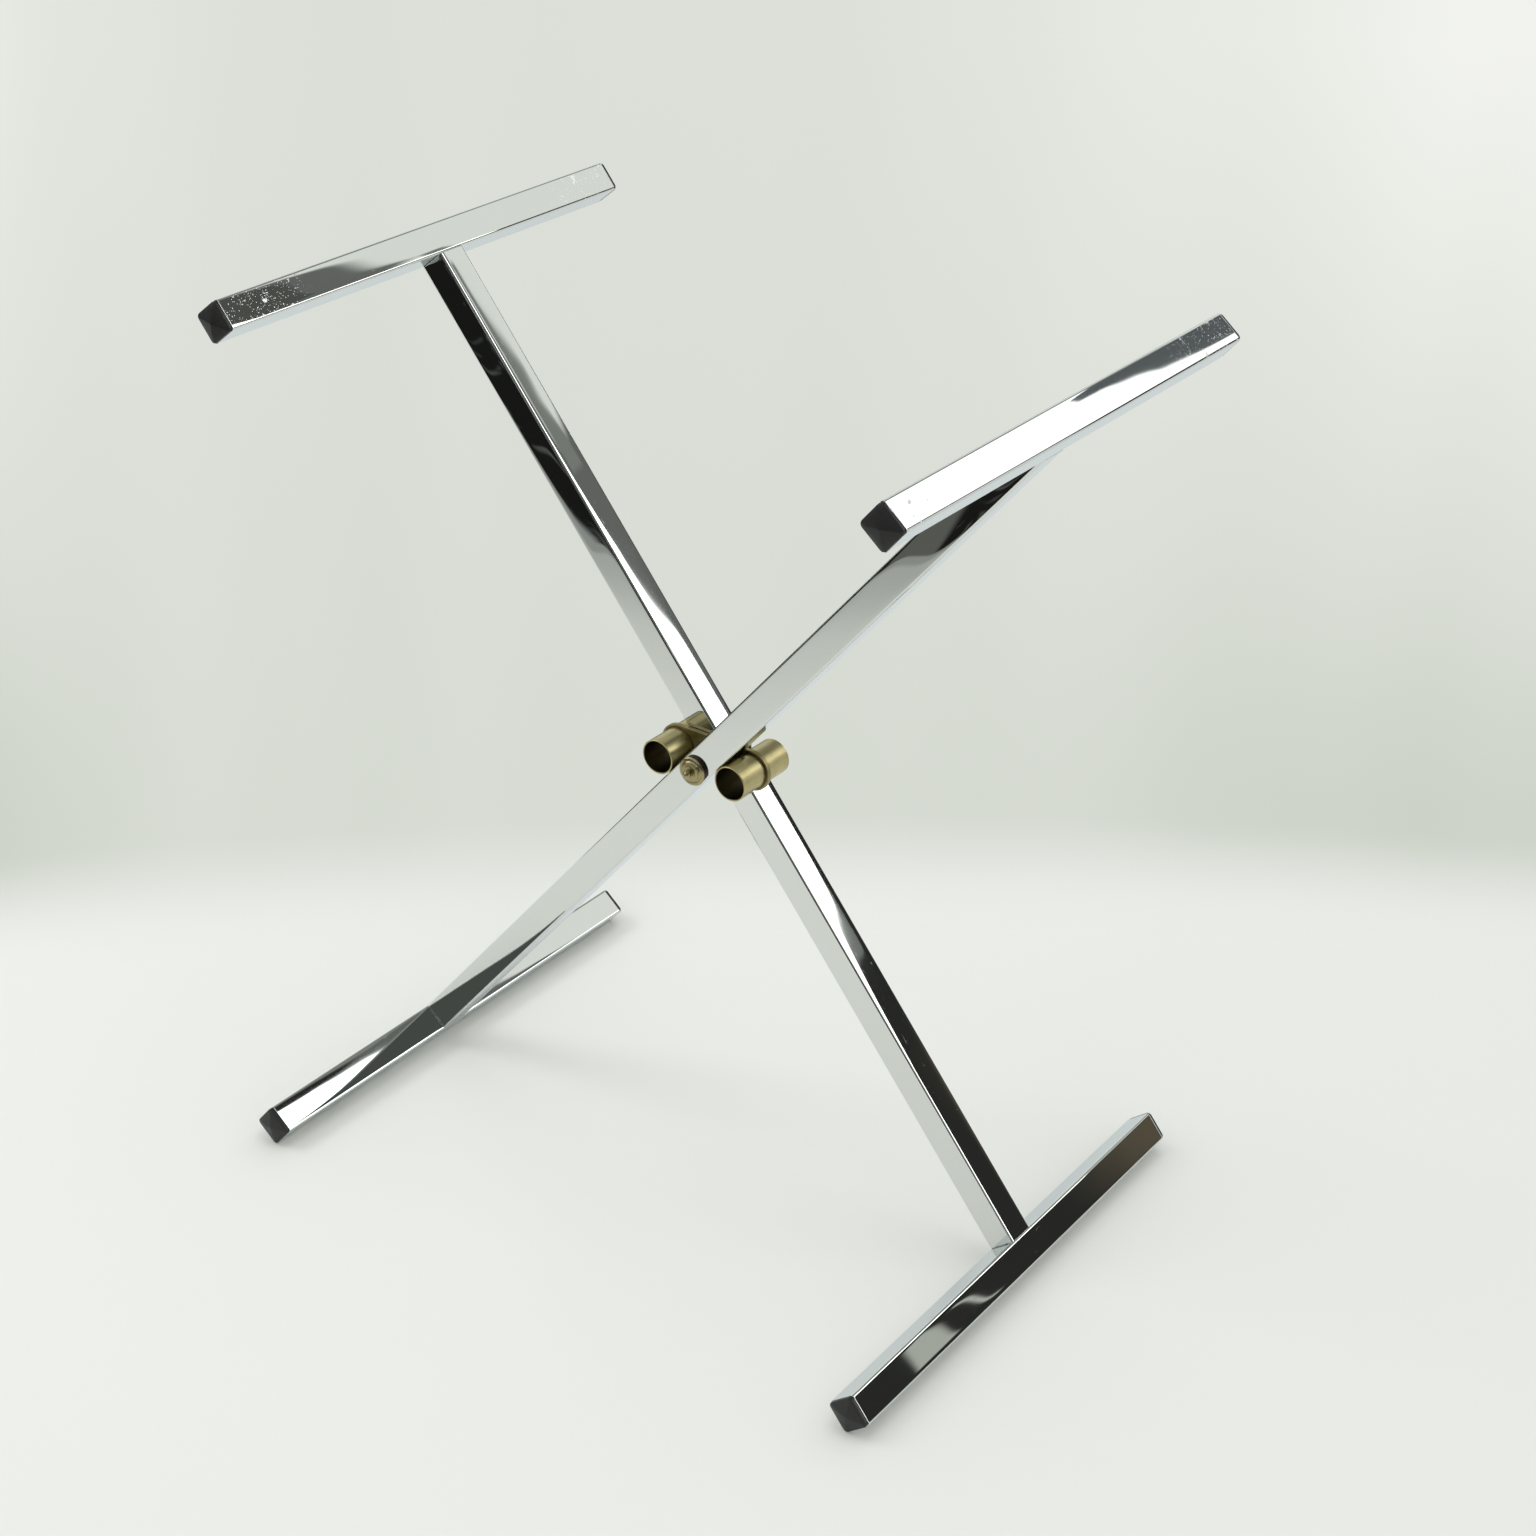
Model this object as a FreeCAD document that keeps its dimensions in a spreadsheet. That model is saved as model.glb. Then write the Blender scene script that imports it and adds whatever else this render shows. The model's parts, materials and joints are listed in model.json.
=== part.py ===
import FreeCAD, Part
import math
import os
import Sketcher
from FreeCAD import Placement, Rotation, Vector

# Folding X-frame stand: two legs of square chromed tube cross at a pivot bolt, and each
# leg carries a cross-bar of the same tube at both of its ends. A flat link on the pivot,
# between the legs, holds a sleeve in the left and in the right crook of the X, and the
# legs come to rest on those two sleeves when the stand is open.
#
# Part frame: +Z up, +Y from the front leg to the rear leg, origin on the floor under the
# middle of the pivot. The stand is modelled open, with the legs on their sleeves.

DRIVING_SIZES = {
    # the square tube of the legs and cross-bars
    "tube_width": 20.0,
    "tube_wall": 1.5,
    "tube_corner": 1.5,
    # lengths of the frames, and the angle of a leg above the floor when open
    "leg_length": 705.0,
    "bar_length": 345.0,
    "open_angle": 50.5,
    # fillet welds where a leg butts on a bar
    "weld_throat": 1.5,
    # push-in caps at the ends of the bars
    "cap_flange": 2.0,
    "cap_corner": 2.5,
    "cap_rim": 0.5,
    "cap_crown": 2.5,
    "cap_apex": 0.8,
    "plug_depth": 12.0,
    "plug_wall": 1.8,
    "plug_lead": 0.8,
    "plug_clearance": 0.05,
    # pivot bolt, with the bushes that keep the tubes from being crushed
    "bolt_diameter": 8.0,
    "bolt_chamfer": 0.8,
    "bolt_clearance": 0.05,
    "bush_outer": 13.0,
    "link_washer_outer": 17.0,
    "link_washer_thickness": 0.5,
    "face_washer_outer": 18.0,
    "face_washer_thickness": 1.2,
    # stepped cap nuts on both ends of the bolt
    "nut_flange_diameter": 19.0,
    "nut_flange_height": 1.6,
    "nut_crown_rise": 0.8,
    "nut_shoulder_diameter": 12.5,
    "nut_shoulder_height": 1.0,
    "nut_neck_diameter": 5.0,
    "nut_cone_height": 3.0,
    "nut_tip_height": 2.0,
    "nut_roof": 2.4,
    # stop link: plate and sleeves
    "plate_thickness": 3.0,
    "plate_margin": 2.0,
    "plate_edge_round": 0.4,
    "sleeve_outer": 23.0,
    "sleeve_wall": 1.0,
    "sleeve_rim_chamfer": 0.25,
    "sleeve_stand_out": 1.0,
    "braze_gap": 0.05,
    "stop_clearance": 0.03,
}

doc = FreeCAD.newDocument("folding_stand")
sheet = doc.addObject("Spreadsheet::Sheet", "sizes")
for row, (alias, value) in enumerate(DRIVING_SIZES.items(), start=1):
    sheet.set(f"A{row}", alias)
    sheet.set(f"B{row}", str(value))
    sheet.setAlias(f"B{row}", alias)
doc.recompute()


def size(alias):
    return float(sheet.get(alias))


# Sizes worked out from the driving ones, each as a formula that the features share.
FORMULA = {
    "tube_inside": "(sizes.tube_width - 2 * sizes.tube_wall)",
    "leg_gap": "(sizes.plate_thickness + 2 * sizes.link_washer_thickness)",
    "bore_radius": "(sizes.bolt_diameter / 2 + sizes.bolt_clearance)",
    "sleeve_radius": "(sizes.sleeve_outer / 2)",
    "sleeve_reach": "((sizes.tube_width / 2 + sizes.sleeve_outer / 2 + sizes.stop_clearance)"
                    " / sin(sizes.open_angle * 1deg))",
}
FORMULA["sleeve_length"] = (f"({FORMULA['leg_gap']} + 2 * sizes.tube_width"
                            " + 2 * sizes.sleeve_stand_out)")
FORMULA["nut_bore_depth"] = ("(sizes.nut_flange_height + sizes.nut_crown_rise"
                             " + sizes.nut_shoulder_height + sizes.nut_cone_height"
                             " - sizes.nut_roof)")
FORMULA["bolt_length"] = (f"({FORMULA['leg_gap']} + 2 * sizes.tube_width"
                          " + 2 * sizes.face_washer_thickness"
                          f" + 2 * ({FORMULA['nut_bore_depth']} - sizes.bolt_clearance))")

# The same quantities as numbers, for the places of the pieces.
tube_width = size("tube_width")
tube_inside = tube_width - 2 * size("tube_wall")
leg_gap = size("plate_thickness") + 2 * size("link_washer_thickness")
bore_radius = size("bolt_diameter") / 2 + size("bolt_clearance")
leg_offset = (leg_gap + tube_width) / 2
open_angle = math.radians(size("open_angle"))
bar_reach = (size("leg_length") + tube_width) / 2
sleeve_reach = ((tube_width + size("sleeve_outer")) / 2 + size("stop_clearance")) / math.sin(open_angle)
corner_centre = tube_width / 2 - size("tube_corner")
pivot_height = (bar_reach * math.sin(open_angle)
                + corner_centre * (math.sin(open_angle) + math.cos(open_angle))
                + size("tube_corner"))


# ---------------------------------------------------------------- drawing helpers

def new_body(label):
    body = doc.addObject("PartDesign::Body", label)
    body.Label = label
    return body


def origin_plane(body, role):
    return next(item for item in body.Origin.OriginFeatures if item.Role == role)


def new_sketch(body, name, role, offset=None):
    """A sketch on one of the body's own planes, lifted off it by a formula."""
    sketch = body.newObject("Sketcher::SketchObject", name)
    sketch.AttachmentSupport = [(origin_plane(body, role), "")]
    sketch.MapMode = "FlatFace"
    if offset:
        sketch.setExpression("AttachmentOffset.Base.z", offset)
    return sketch


def bind(sketch, constraint, formula):
    """Add a driving constraint and give it its formula."""
    index = sketch.addConstraint(constraint)
    sketch.setExpression(f"Constraints[{index}]", formula)


def draw_square(sketch, width, formula):
    """A square of one width, centred on the sketch's origin."""
    half = width / 2
    corners = [Vector(-half, -half), Vector(half, -half), Vector(half, half), Vector(-half, half)]
    for start, end in zip(corners, corners[1:] + corners[:1]):
        sketch.addGeometry(Part.LineSegment(start, end))
    for side in range(4):
        sketch.addConstraint(Sketcher.Constraint("Coincident", side, 2, (side + 1) % 4, 1))
        sketch.addConstraint(Sketcher.Constraint("Vertical" if side % 2 else "Horizontal", side))
    sketch.addConstraint(Sketcher.Constraint("Symmetric", 0, 1, 1, 2, -1, 1))
    bind(sketch, Sketcher.Constraint("DistanceX", 0, 1, 0, 2, width), formula)
    bind(sketch, Sketcher.Constraint("DistanceY", 1, 1, 1, 2, width), formula)


def draw_circle(sketch, radius, formula, centre=0.0, centre_formula=None):
    """A circle on the sketch's horizontal axis, at its origin or a distance along it."""
    circle = sketch.addGeometry(Part.Circle(Vector(centre, 0), Vector(0, 0, 1), radius))
    bind(sketch, Sketcher.Constraint("Radius", circle, radius), formula)
    if centre_formula is None:
        sketch.addConstraint(Sketcher.Constraint("Coincident", circle, 3, -1, 1))
        return
    sketch.addConstraint(Sketcher.Constraint("PointOnObject", circle, 3, -1))
    first, second = ((-1, 1), (circle, 3)) if centre > 0 else ((circle, 3), (-1, 1))
    bind(sketch, Sketcher.Constraint("DistanceX", *first, *second, abs(centre)), centre_formula)


def draw_outline(sketch, points, bindings):
    """A closed outline of straight lines; each binding ties a point's x or y to a formula."""
    for start, end in zip(points, points[1:] + points[:1]):
        sketch.addGeometry(Part.LineSegment(Vector(*start), Vector(*end)))
    count = len(points)
    for side in range(count):
        sketch.addConstraint(Sketcher.Constraint("Coincident", side, 2, (side + 1) % count, 1))
    for point, axis, formula in bindings:
        value = points[point]["xy".index(axis)]
        kind = "Distance" + axis.upper()
        bind(sketch, Sketcher.Constraint(kind, -1, 1, point, 1, value), formula)


def pad(body, sketch, formula, both_ways=False, reverse=False):
    feature = body.newObject("PartDesign::Pad", sketch.Name + "_pad")
    feature.Profile = sketch
    feature.setExpression("Length", formula)
    feature.Midplane = both_ways
    feature.Reversed = reverse
    return feature


def pocket_through(body, sketch):
    """Cut the sketch's shape through the whole body, both ways from its plane."""
    feature = body.newObject("PartDesign::Pocket", sketch.Name + "_cut")
    feature.Profile = sketch
    feature.Type = "ThroughAll"
    feature.Midplane = True
    return feature


def edges_where(feature, chosen):
    doc.recompute()
    return [f"Edge{number}" for number, edge in enumerate(feature.Shape.Edges, start=1) if chosen(edge)]


def dress(body, kind, base, chosen, property_name, formula):
    """A fillet or chamfer on the base's chosen edges."""
    names = edges_where(base, chosen)
    feature = body.newObject(f"PartDesign::{kind}", f"{body.Label}_{kind.lower()}")
    feature.Base = (base, names)
    feature.setExpression(property_name, formula)
    return feature


def is_upright_line(edge):
    return isinstance(edge.Curve, Part.Line) and abs(edge.Curve.Direction.z) > 0.999


def is_circle(edge):
    return isinstance(edge.Curve, Part.Circle)


# ---------------------------------------------------------------- tube, bars and caps

def square_tube(label, length_formula):
    """Square tube along Z, centred on the origin, with rounded outer corners."""
    body = new_body(label)
    outside = new_sketch(body, label + "_outside", "XY_Plane")
    draw_square(outside, tube_width, "sizes.tube_width")
    blank = pad(body, outside, length_formula, both_ways=True)
    dress(body, "Fillet", blank, is_upright_line, "Radius", "sizes.tube_corner")
    inside = new_sketch(body, label + "_inside", "XY_Plane")
    draw_square(inside, tube_inside, FORMULA["tube_inside"])
    pocket_through(body, inside)
    return body


def leg_tube(label):
    """Leg with the pivot hole through its front and back walls at mid-length."""
    body = square_tube(label, "sizes.leg_length")
    hole = new_sketch(body, label + "_pivot_hole", "XZ_Plane")
    draw_circle(hole, bore_radius, FORMULA["bore_radius"])
    pocket_through(body, hole)
    return body


def end_cap(label):
    """Cap with its plug down -Z inside the tube and a low four-sided crown up +Z."""
    body = new_body(label)
    flange_outline = new_sketch(body, label + "_flange", "XY_Plane")
    draw_square(flange_outline, tube_width, "sizes.tube_width")
    flange = pad(body, flange_outline, "sizes.cap_flange")
    rounded = dress(body, "Fillet", flange, is_upright_line, "Radius", "sizes.cap_corner")
    doc.recompute()

    crown_foot = new_sketch(body, label + "_crown_foot", "XY_Plane", "sizes.cap_flange")
    draw_square(crown_foot, tube_width - 2 * size("cap_rim"), "sizes.tube_width - 2 * sizes.cap_rim")
    crown_top = new_sketch(body, label + "_crown_top", "XY_Plane", "sizes.cap_flange + sizes.cap_crown")
    draw_square(crown_top, size("cap_apex"), "sizes.cap_apex")
    crown = body.newObject("PartDesign::AdditiveLoft", label + "_crown")
    crown.Profile = crown_foot
    crown.Sections = [crown_top]
    crown.Ruled = True

    plug_width = tube_inside - 2 * size("plug_clearance")
    plug_formula = f"{FORMULA['tube_inside']} - 2 * sizes.plug_clearance"
    plug_outline = new_sketch(body, label + "_plug", "XY_Plane")
    draw_square(plug_outline, plug_width, plug_formula)
    plug = pad(body, plug_outline, "sizes.plug_depth", reverse=True)

    def is_lead_edge(edge):
        return all(abs(v.Z + size("plug_depth")) < 1e-6 for v in edge.Vertexes)

    dress(body, "Chamfer", plug, is_lead_edge, "Size", "sizes.plug_lead")
    hollow = new_sketch(body, label + "_hollow", "XY_Plane")
    draw_square(hollow, plug_width - 2 * size("plug_wall"), f"{plug_formula} - 2 * sizes.plug_wall")
    cut = body.newObject("PartDesign::Pocket", label + "_hollow_cut")
    cut.Profile = hollow
    cut.setExpression("Length", "sizes.plug_depth")
    return body


def weld_bead(label):
    """Fillet weld along X, its right angle on the origin and its legs up +Y and +Z."""
    body = new_body(label)
    throat = size("weld_throat")
    section = new_sketch(body, label + "_section", "YZ_Plane")
    draw_outline(section, [(0.0, 0.0), (throat, 0.0), (0.0, throat)],
                 [(1, "x", "sizes.weld_throat"), (2, "y", "sizes.weld_throat")])
    section.addConstraint(Sketcher.Constraint("Coincident", 0, 1, -1, 1))
    section.addConstraint(Sketcher.Constraint("Horizontal", 0))
    section.addConstraint(Sketcher.Constraint("Vertical", 2))
    pad(body, section, "sizes.tube_width - 2 * sizes.tube_corner", both_ways=True)
    return body


# ---------------------------------------------------------------- pivot pieces, about Z

def pivot_ring(label, outer_alias, thickness_formula):
    """Washer or bush about Z, from the origin up, with the bolt's running clearance inside."""
    body = new_body(label)
    outline = new_sketch(body, label + "_outline", "XY_Plane")
    draw_circle(outline, size(outer_alias) / 2, f"sizes.{outer_alias} / 2")
    draw_circle(outline, bore_radius, FORMULA["bore_radius"])
    pad(body, outline, thickness_formula)
    return body


def pivot_bolt(label):
    """Plain pin about Z, centred on the origin, chamfered at both ends."""
    body = new_body(label)
    outline = new_sketch(body, label + "_outline", "XY_Plane")
    draw_circle(outline, size("bolt_diameter") / 2, "sizes.bolt_diameter / 2")
    shank = pad(body, outline, FORMULA["bolt_length"], both_ways=True)
    dress(body, "Chamfer", shank, is_circle, "Size", "sizes.bolt_chamfer")
    return body


def cap_nut(label):
    """Blind nut turned about Z: a crowned flange, a shoulder, a cone and a small tip."""
    body = new_body(label)
    flange = size("nut_flange_diameter") / 2
    shoulder = size("nut_shoulder_diameter") / 2
    neck = size("nut_neck_diameter") / 2
    steps = ["nut_flange_height", "nut_crown_rise", "nut_shoulder_height", "nut_cone_height"]
    levels = [sum(size(alias) for alias in steps[:count]) for count in range(1, 5)]
    level_formulas = [" + ".join("sizes." + alias for alias in steps[:count]) for count in range(1, 5)]
    bore_depth = levels[3] - size("nut_roof")
    tip = levels[3] + size("nut_tip_height")
    points = [(bore_radius, 0.0), (flange, 0.0), (flange, levels[0]), (shoulder, levels[1]),
              (shoulder, levels[2]), (neck, levels[3]), (neck, tip), (0.0, tip),
              (0.0, bore_depth), (bore_radius, bore_depth)]
    tip_formula = f"{level_formulas[3]} + sizes.nut_tip_height"
    profile = new_sketch(body, label + "_profile", "XZ_Plane")
    draw_outline(profile, points, [
        (0, "x", FORMULA["bore_radius"]), (1, "x", "sizes.nut_flange_diameter / 2"),
        (2, "y", level_formulas[0]), (3, "x", "sizes.nut_shoulder_diameter / 2"),
        (3, "y", level_formulas[1]), (4, "y", level_formulas[2]),
        (5, "x", "sizes.nut_neck_diameter / 2"), (5, "y", level_formulas[3]),
        (6, "y", tip_formula), (9, "y", FORMULA["nut_bore_depth"])])
    for side in (0, 6, 8):
        profile.addConstraint(Sketcher.Constraint("Horizontal", side))
    for side in (1, 3, 5, 7, 9):
        profile.addConstraint(Sketcher.Constraint("Vertical", side))
    profile.addConstraint(Sketcher.Constraint("PointOnObject", 0, 1, -1))
    profile.addConstraint(Sketcher.Constraint("PointOnObject", 7, 1, -2))
    turned = body.newObject("PartDesign::Revolution", label + "_turned")
    turned.Profile = profile
    turned.ReferenceAxis = (profile, ["V_Axis"])
    turned.Angle = 360.0

    def is_tip_edge(edge):
        on_top = abs(edge.BoundBox.ZMin - tip) < 1e-6
        return is_circle(edge) and on_top

    dress(body, "Fillet", turned, is_tip_edge, "Radius",
          "min(sizes.nut_tip_height; sizes.nut_neck_diameter / 2) * 0.9")
    return body


# ---------------------------------------------------------------- stop link, in the XZ plane

def link_plate(label):
    """Flat bar with round ends, a hole for each sleeve and one for the bolt."""
    body = new_body(label)
    end_radius = size("sleeve_outer") / 2 + size("plate_margin")
    end_formula = f"{FORMULA['sleeve_radius']} + sizes.plate_margin"
    outline = new_sketch(body, label + "_outline", "XZ_Plane")
    right, left = Vector(sleeve_reach, 0), Vector(-sleeve_reach, 0)
    up = Vector(0, end_radius)
    axis = Vector(0, 0, 1)
    quarter = math.pi / 2
    outline.addGeometry(Part.ArcOfCircle(Part.Circle(right, axis, end_radius), -quarter, quarter))
    outline.addGeometry(Part.LineSegment(right + up, left + up))
    outline.addGeometry(Part.ArcOfCircle(Part.Circle(left, axis, end_radius), quarter, 3 * quarter))
    outline.addGeometry(Part.LineSegment(left - up, right - up))
    for first in range(4):
        ends = (first, 2, (first + 1) % 4, 1)
        outline.addConstraint(Sketcher.Constraint("Tangent", *ends))
    outline.addConstraint(Sketcher.Constraint("Symmetric", 0, 3, 2, 3, -1, 1))
    outline.addConstraint(Sketcher.Constraint("PointOnObject", 0, 3, -1))
    bind(outline, Sketcher.Constraint("Radius", 0, end_radius), end_formula)
    bind(outline, Sketcher.Constraint("DistanceX", -1, 1, 0, 3, sleeve_reach), FORMULA["sleeve_reach"])
    plate = pad(body, outline, "sizes.plate_thickness", both_ways=True)

    def is_face_edge(edge):
        return edge.BoundBox.YLength < 1e-6

    dress(body, "Fillet", plate, is_face_edge, "Radius", "sizes.plate_edge_round")
    holes = new_sketch(body, label + "_holes", "XZ_Plane")
    draw_circle(holes, bore_radius, FORMULA["bore_radius"])
    seat = size("sleeve_outer") / 2 + size("braze_gap")
    seat_formula = f"{FORMULA['sleeve_radius']} + sizes.braze_gap"
    for centre in (sleeve_reach, -sleeve_reach):
        draw_circle(holes, seat, seat_formula, centre, FORMULA["sleeve_reach"])
    pocket_through(body, holes)
    return body


def stop_sleeve(label):
    """Open tube along Y, centred on the origin, with its rims broken."""
    body = new_body(label)
    outline = new_sketch(body, label + "_outline", "XZ_Plane")
    draw_circle(outline, size("sleeve_outer") / 2, FORMULA["sleeve_radius"])
    draw_circle(outline, size("sleeve_outer") / 2 - size("sleeve_wall"),
                f"{FORMULA['sleeve_radius']} - sizes.sleeve_wall")
    wall = pad(body, outline, FORMULA["sleeve_length"], both_ways=True)
    dress(body, "Chamfer", wall, is_circle, "Size", "sizes.sleeve_rim_chamfer")
    return body


# ---------------------------------------------------------------- assembly

ALONG_PLUS_Y = Rotation(Vector(1, 0, 0), -90)
ALONG_MINUS_Y = Rotation(Vector(1, 0, 0), 90)
pivot_centre = Vector(0, 0, pivot_height)
parts = []


def keep(body, placement):
    body.Placement = placement
    parts.append(body)


def add_frame(leg, side):
    """One leg with its two bars, their caps and welds. side is -1 for the front leg."""
    tilt = Rotation(Vector(0, 1, 0), -side * (90 - size("open_angle")))
    frame = Placement(pivot_centre + Vector(0, side * leg_offset, 0), tilt)
    keep(leg_tube(f"{leg}_leg_tube"), frame)
    for end, sign in (("top", 1), ("bottom", -1)):
        bar_centre = Vector(0, -side * leg_offset, sign * bar_reach)
        keep(square_tube(f"{leg}_leg_{end}_bar", "sizes.bar_length"),
             frame * Placement(bar_centre, ALONG_PLUS_Y))
        for face, facing, turn in (("front", -1, ALONG_MINUS_Y), ("back", 1, ALONG_PLUS_Y)):
            bar_end = bar_centre + Vector(0, facing * size("bar_length") / 2, 0)
            keep(end_cap(f"{leg}_leg_{end}_bar_{face}_cap"), frame * Placement(bar_end, turn))
        for face, facing in (("front", -1), ("back", 1)):
            seam = Vector(0, facing * tube_width / 2, sign * size("leg_length") / 2)
            turn = {(1, 1): -90, (1, -1): 180, (-1, 1): 0, (-1, -1): 90}[sign, facing]
            keep(weld_bead(f"{leg}_leg_{end}_{face}_weld"),
                 frame * Placement(seam, Rotation(Vector(1, 0, 0), turn)))


def add_bush(leg, side):
    """Bush inside the leg that fills the space between its front and back walls."""
    bush = pivot_ring(f"{leg}_leg_pivot_bush", "bush_outer", FORMULA["tube_inside"])
    inner_wall = side * leg_offset - tube_inside / 2
    keep(bush, Placement(pivot_centre + Vector(0, inner_wall, 0), ALONG_PLUS_Y))


def add_pivot_end(name, side):
    """Washer and cap nut on the outer face of one leg, and the washer between leg and link."""
    outward = ALONG_MINUS_Y if side < 0 else ALONG_PLUS_Y

    def at(distance):
        return Placement(pivot_centre + Vector(0, side * distance, 0), outward)

    outer_face = leg_offset + tube_width / 2
    keep(pivot_ring(f"{name}_link_washer", "link_washer_outer", "sizes.link_washer_thickness"),
         at(size("plate_thickness") / 2))
    keep(pivot_ring(f"{name}_face_washer", "face_washer_outer", "sizes.face_washer_thickness"),
         at(outer_face))
    keep(cap_nut(f"{name}_cap_nut"), at(outer_face + size("face_washer_thickness")))


for leg_name, leg_side in (("front", -1), ("rear", 1)):
    add_frame(leg_name, leg_side)
    add_bush(leg_name, leg_side)
    add_pivot_end(leg_name, leg_side)
keep(pivot_bolt("pivot_bolt"), Placement(pivot_centre, ALONG_PLUS_Y))
keep(link_plate("link_plate"), Placement(pivot_centre, Rotation()))
for sleeve_name, way in (("left", -1), ("right", 1)):
    keep(stop_sleeve(f"{sleeve_name}_stop_sleeve"),
         Placement(pivot_centre + Vector(way * sleeve_reach, 0, 0), Rotation()))

doc.recompute()
for item in doc.Objects:
    if {"Invalid", "Error"} & set(item.State):
        raise RuntimeError(f"{item.Label} failed: {item.State}")
for part in parts:
    if part.Shape.isNull() or not part.Shape.isValid() or len(part.Shape.Solids) != 1:
        raise RuntimeError(f"{part.Label} is not one valid solid")

os.makedirs("parts", exist_ok=True)
for part in parts:
    part.Shape.exportStep(f"parts/{part.Label}.step")
    print(f"{part.Label}: {part.Shape.Volume:.1f} mm3")
print(f"{len(parts)} parts, pivot at {pivot_height:.2f} mm, sleeves at {sleeve_reach:.2f} mm")
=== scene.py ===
# %% [markdown]
# A folding X-frame stand of chromed square tube. Two legs cross on a pivot bolt, each with a
# cross-bar at both of its ends, and a brass link with two sleeves sits in the crooks of the X.
# The frame holds every piece at its real size. This lesson gives each surface its finish, models
# the small pieces more finely, and builds a plain studio round the stand.

# %% Load the frame
import json
import math

import bmesh
import bpy
from mathutils import Matrix, Vector


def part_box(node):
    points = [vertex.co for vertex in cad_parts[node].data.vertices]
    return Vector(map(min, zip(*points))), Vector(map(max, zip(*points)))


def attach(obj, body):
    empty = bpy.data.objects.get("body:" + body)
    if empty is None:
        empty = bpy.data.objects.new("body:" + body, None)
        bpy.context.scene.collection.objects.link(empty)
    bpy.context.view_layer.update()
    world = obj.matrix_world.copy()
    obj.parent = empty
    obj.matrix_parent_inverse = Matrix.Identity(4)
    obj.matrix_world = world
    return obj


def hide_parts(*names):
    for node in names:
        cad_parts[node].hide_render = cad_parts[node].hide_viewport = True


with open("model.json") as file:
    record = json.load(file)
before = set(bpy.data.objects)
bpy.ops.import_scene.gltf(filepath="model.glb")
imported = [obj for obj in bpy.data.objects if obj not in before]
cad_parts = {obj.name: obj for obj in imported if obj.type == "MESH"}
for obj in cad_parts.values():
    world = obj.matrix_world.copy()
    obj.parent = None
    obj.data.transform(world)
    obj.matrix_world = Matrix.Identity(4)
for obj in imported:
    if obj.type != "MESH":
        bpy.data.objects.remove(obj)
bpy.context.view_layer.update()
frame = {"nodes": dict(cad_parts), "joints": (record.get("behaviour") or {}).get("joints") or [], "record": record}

MM = 0.001
nodes = frame["nodes"]

# %% [markdown]
# Every place below is worked out from the frame: the pivot from its joint, the slope of each leg
# from the mount on its top bar, and the tube's width and the bar's length from the nodes' boxes.
# A leg gets coordinates of its own, with Z along the leg and Y along the pivot bolt, because the
# caps, welds and bars repeat on both legs in exactly the same places.

# %% Measure the legs
pivot = Vector(frame["joints"][0]["pos_m"])
mounts = {mount["name"]: mount for mount in frame["record"]["mounts"]}
leg_axis = {leg: Vector(mounts[f"{leg}_leg_top_bar_face"]["axis"]) for leg in ("front", "rear")}
top_face = Vector(mounts["front_leg_top_bar_face"]["pos_m"])
bolt_axis = Vector((0, 1, 0))       # the bars lie along it too

low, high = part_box("front_leg_tube")
tube = high.y - low.y
leg_depth = {"front": (low.y + high.y) / 2, "rear": -(low.y + high.y) / 2}
bar_reach = (top_face - pivot).dot(leg_axis["front"]) - tube / 2
seam_reach = bar_reach - tube / 2
bar_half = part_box("front_leg_top_bar")[1].y
print(f"tube {tube / MM:.1f} mm, bars {bar_reach / MM:.1f} mm from the pivot and "
      f"{2 * bar_half / MM:.0f} mm long")

# %% [markdown]
# Shaders, the world and Geometry Nodes are all trees of nodes, so one small function adds a node
# of any kind to any tree, with its settings and whatever feeds its inputs. Colours are written
# as sRGB hex, the way a paint chart gives them, and one function turns them to linear values.

# %% Helpers for every tree
def colour(code, level=1.0):
    """Linear RGBA of an sRGB hex code, times a level."""
    shares = [int(code[i:i + 2], 16) / 255 for i in (1, 3, 5)]
    linear = [s / 12.92 if s <= 0.04045 else ((s + 0.055) / 1.055) ** 2.4 for s in shares]
    return [level * share for share in linear] + [1.0]


def feed(node, feeds):
    """Fill a node's inputs with values or links. A node among the feeds means its first output."""
    for key, value in feeds.items():
        if isinstance(value, bpy.types.Node):
            value = value.outputs[0]
        if isinstance(value, bpy.types.NodeSocket):
            node.id_data.links.new(value, node.inputs[key])
        else:
            node.inputs[key].default_value = value


def add(tree, kind, feeds=None, **settings):
    """Add a node: settings are its properties, feeds go to its inputs."""
    made = tree.nodes.new(kind)
    for name, value in settings.items():
        setattr(made, name, value)
    feed(made, feeds or {})
    return made


print("mid grey #808080 is", round(colour("#808080")[0], 3), "in linear light")


# %% Helpers for materials and objects
def new_material(name):
    """A material with a lone Principled shader; returns it, its tree, the shader and the places."""
    made = bpy.data.materials.new(name)
    made.use_nodes = True
    tree = made.node_tree
    place = add(tree, "ShaderNodeTexCoord").outputs["Object"]
    return made, tree, tree.nodes["Principled BSDF"], place


def coat(material, *names):
    """Give a finish to pieces of the frame."""
    for name in names:
        nodes[name].material_slots[0].material = material
    print(f"{material.name}: {', '.join(names)}")


def new_object(name, data):
    """Put a mesh, a lamp or a camera in the scene."""
    made = bpy.data.objects.new(name, data)
    bpy.context.scene.collection.objects.link(made)
    return made


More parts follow.
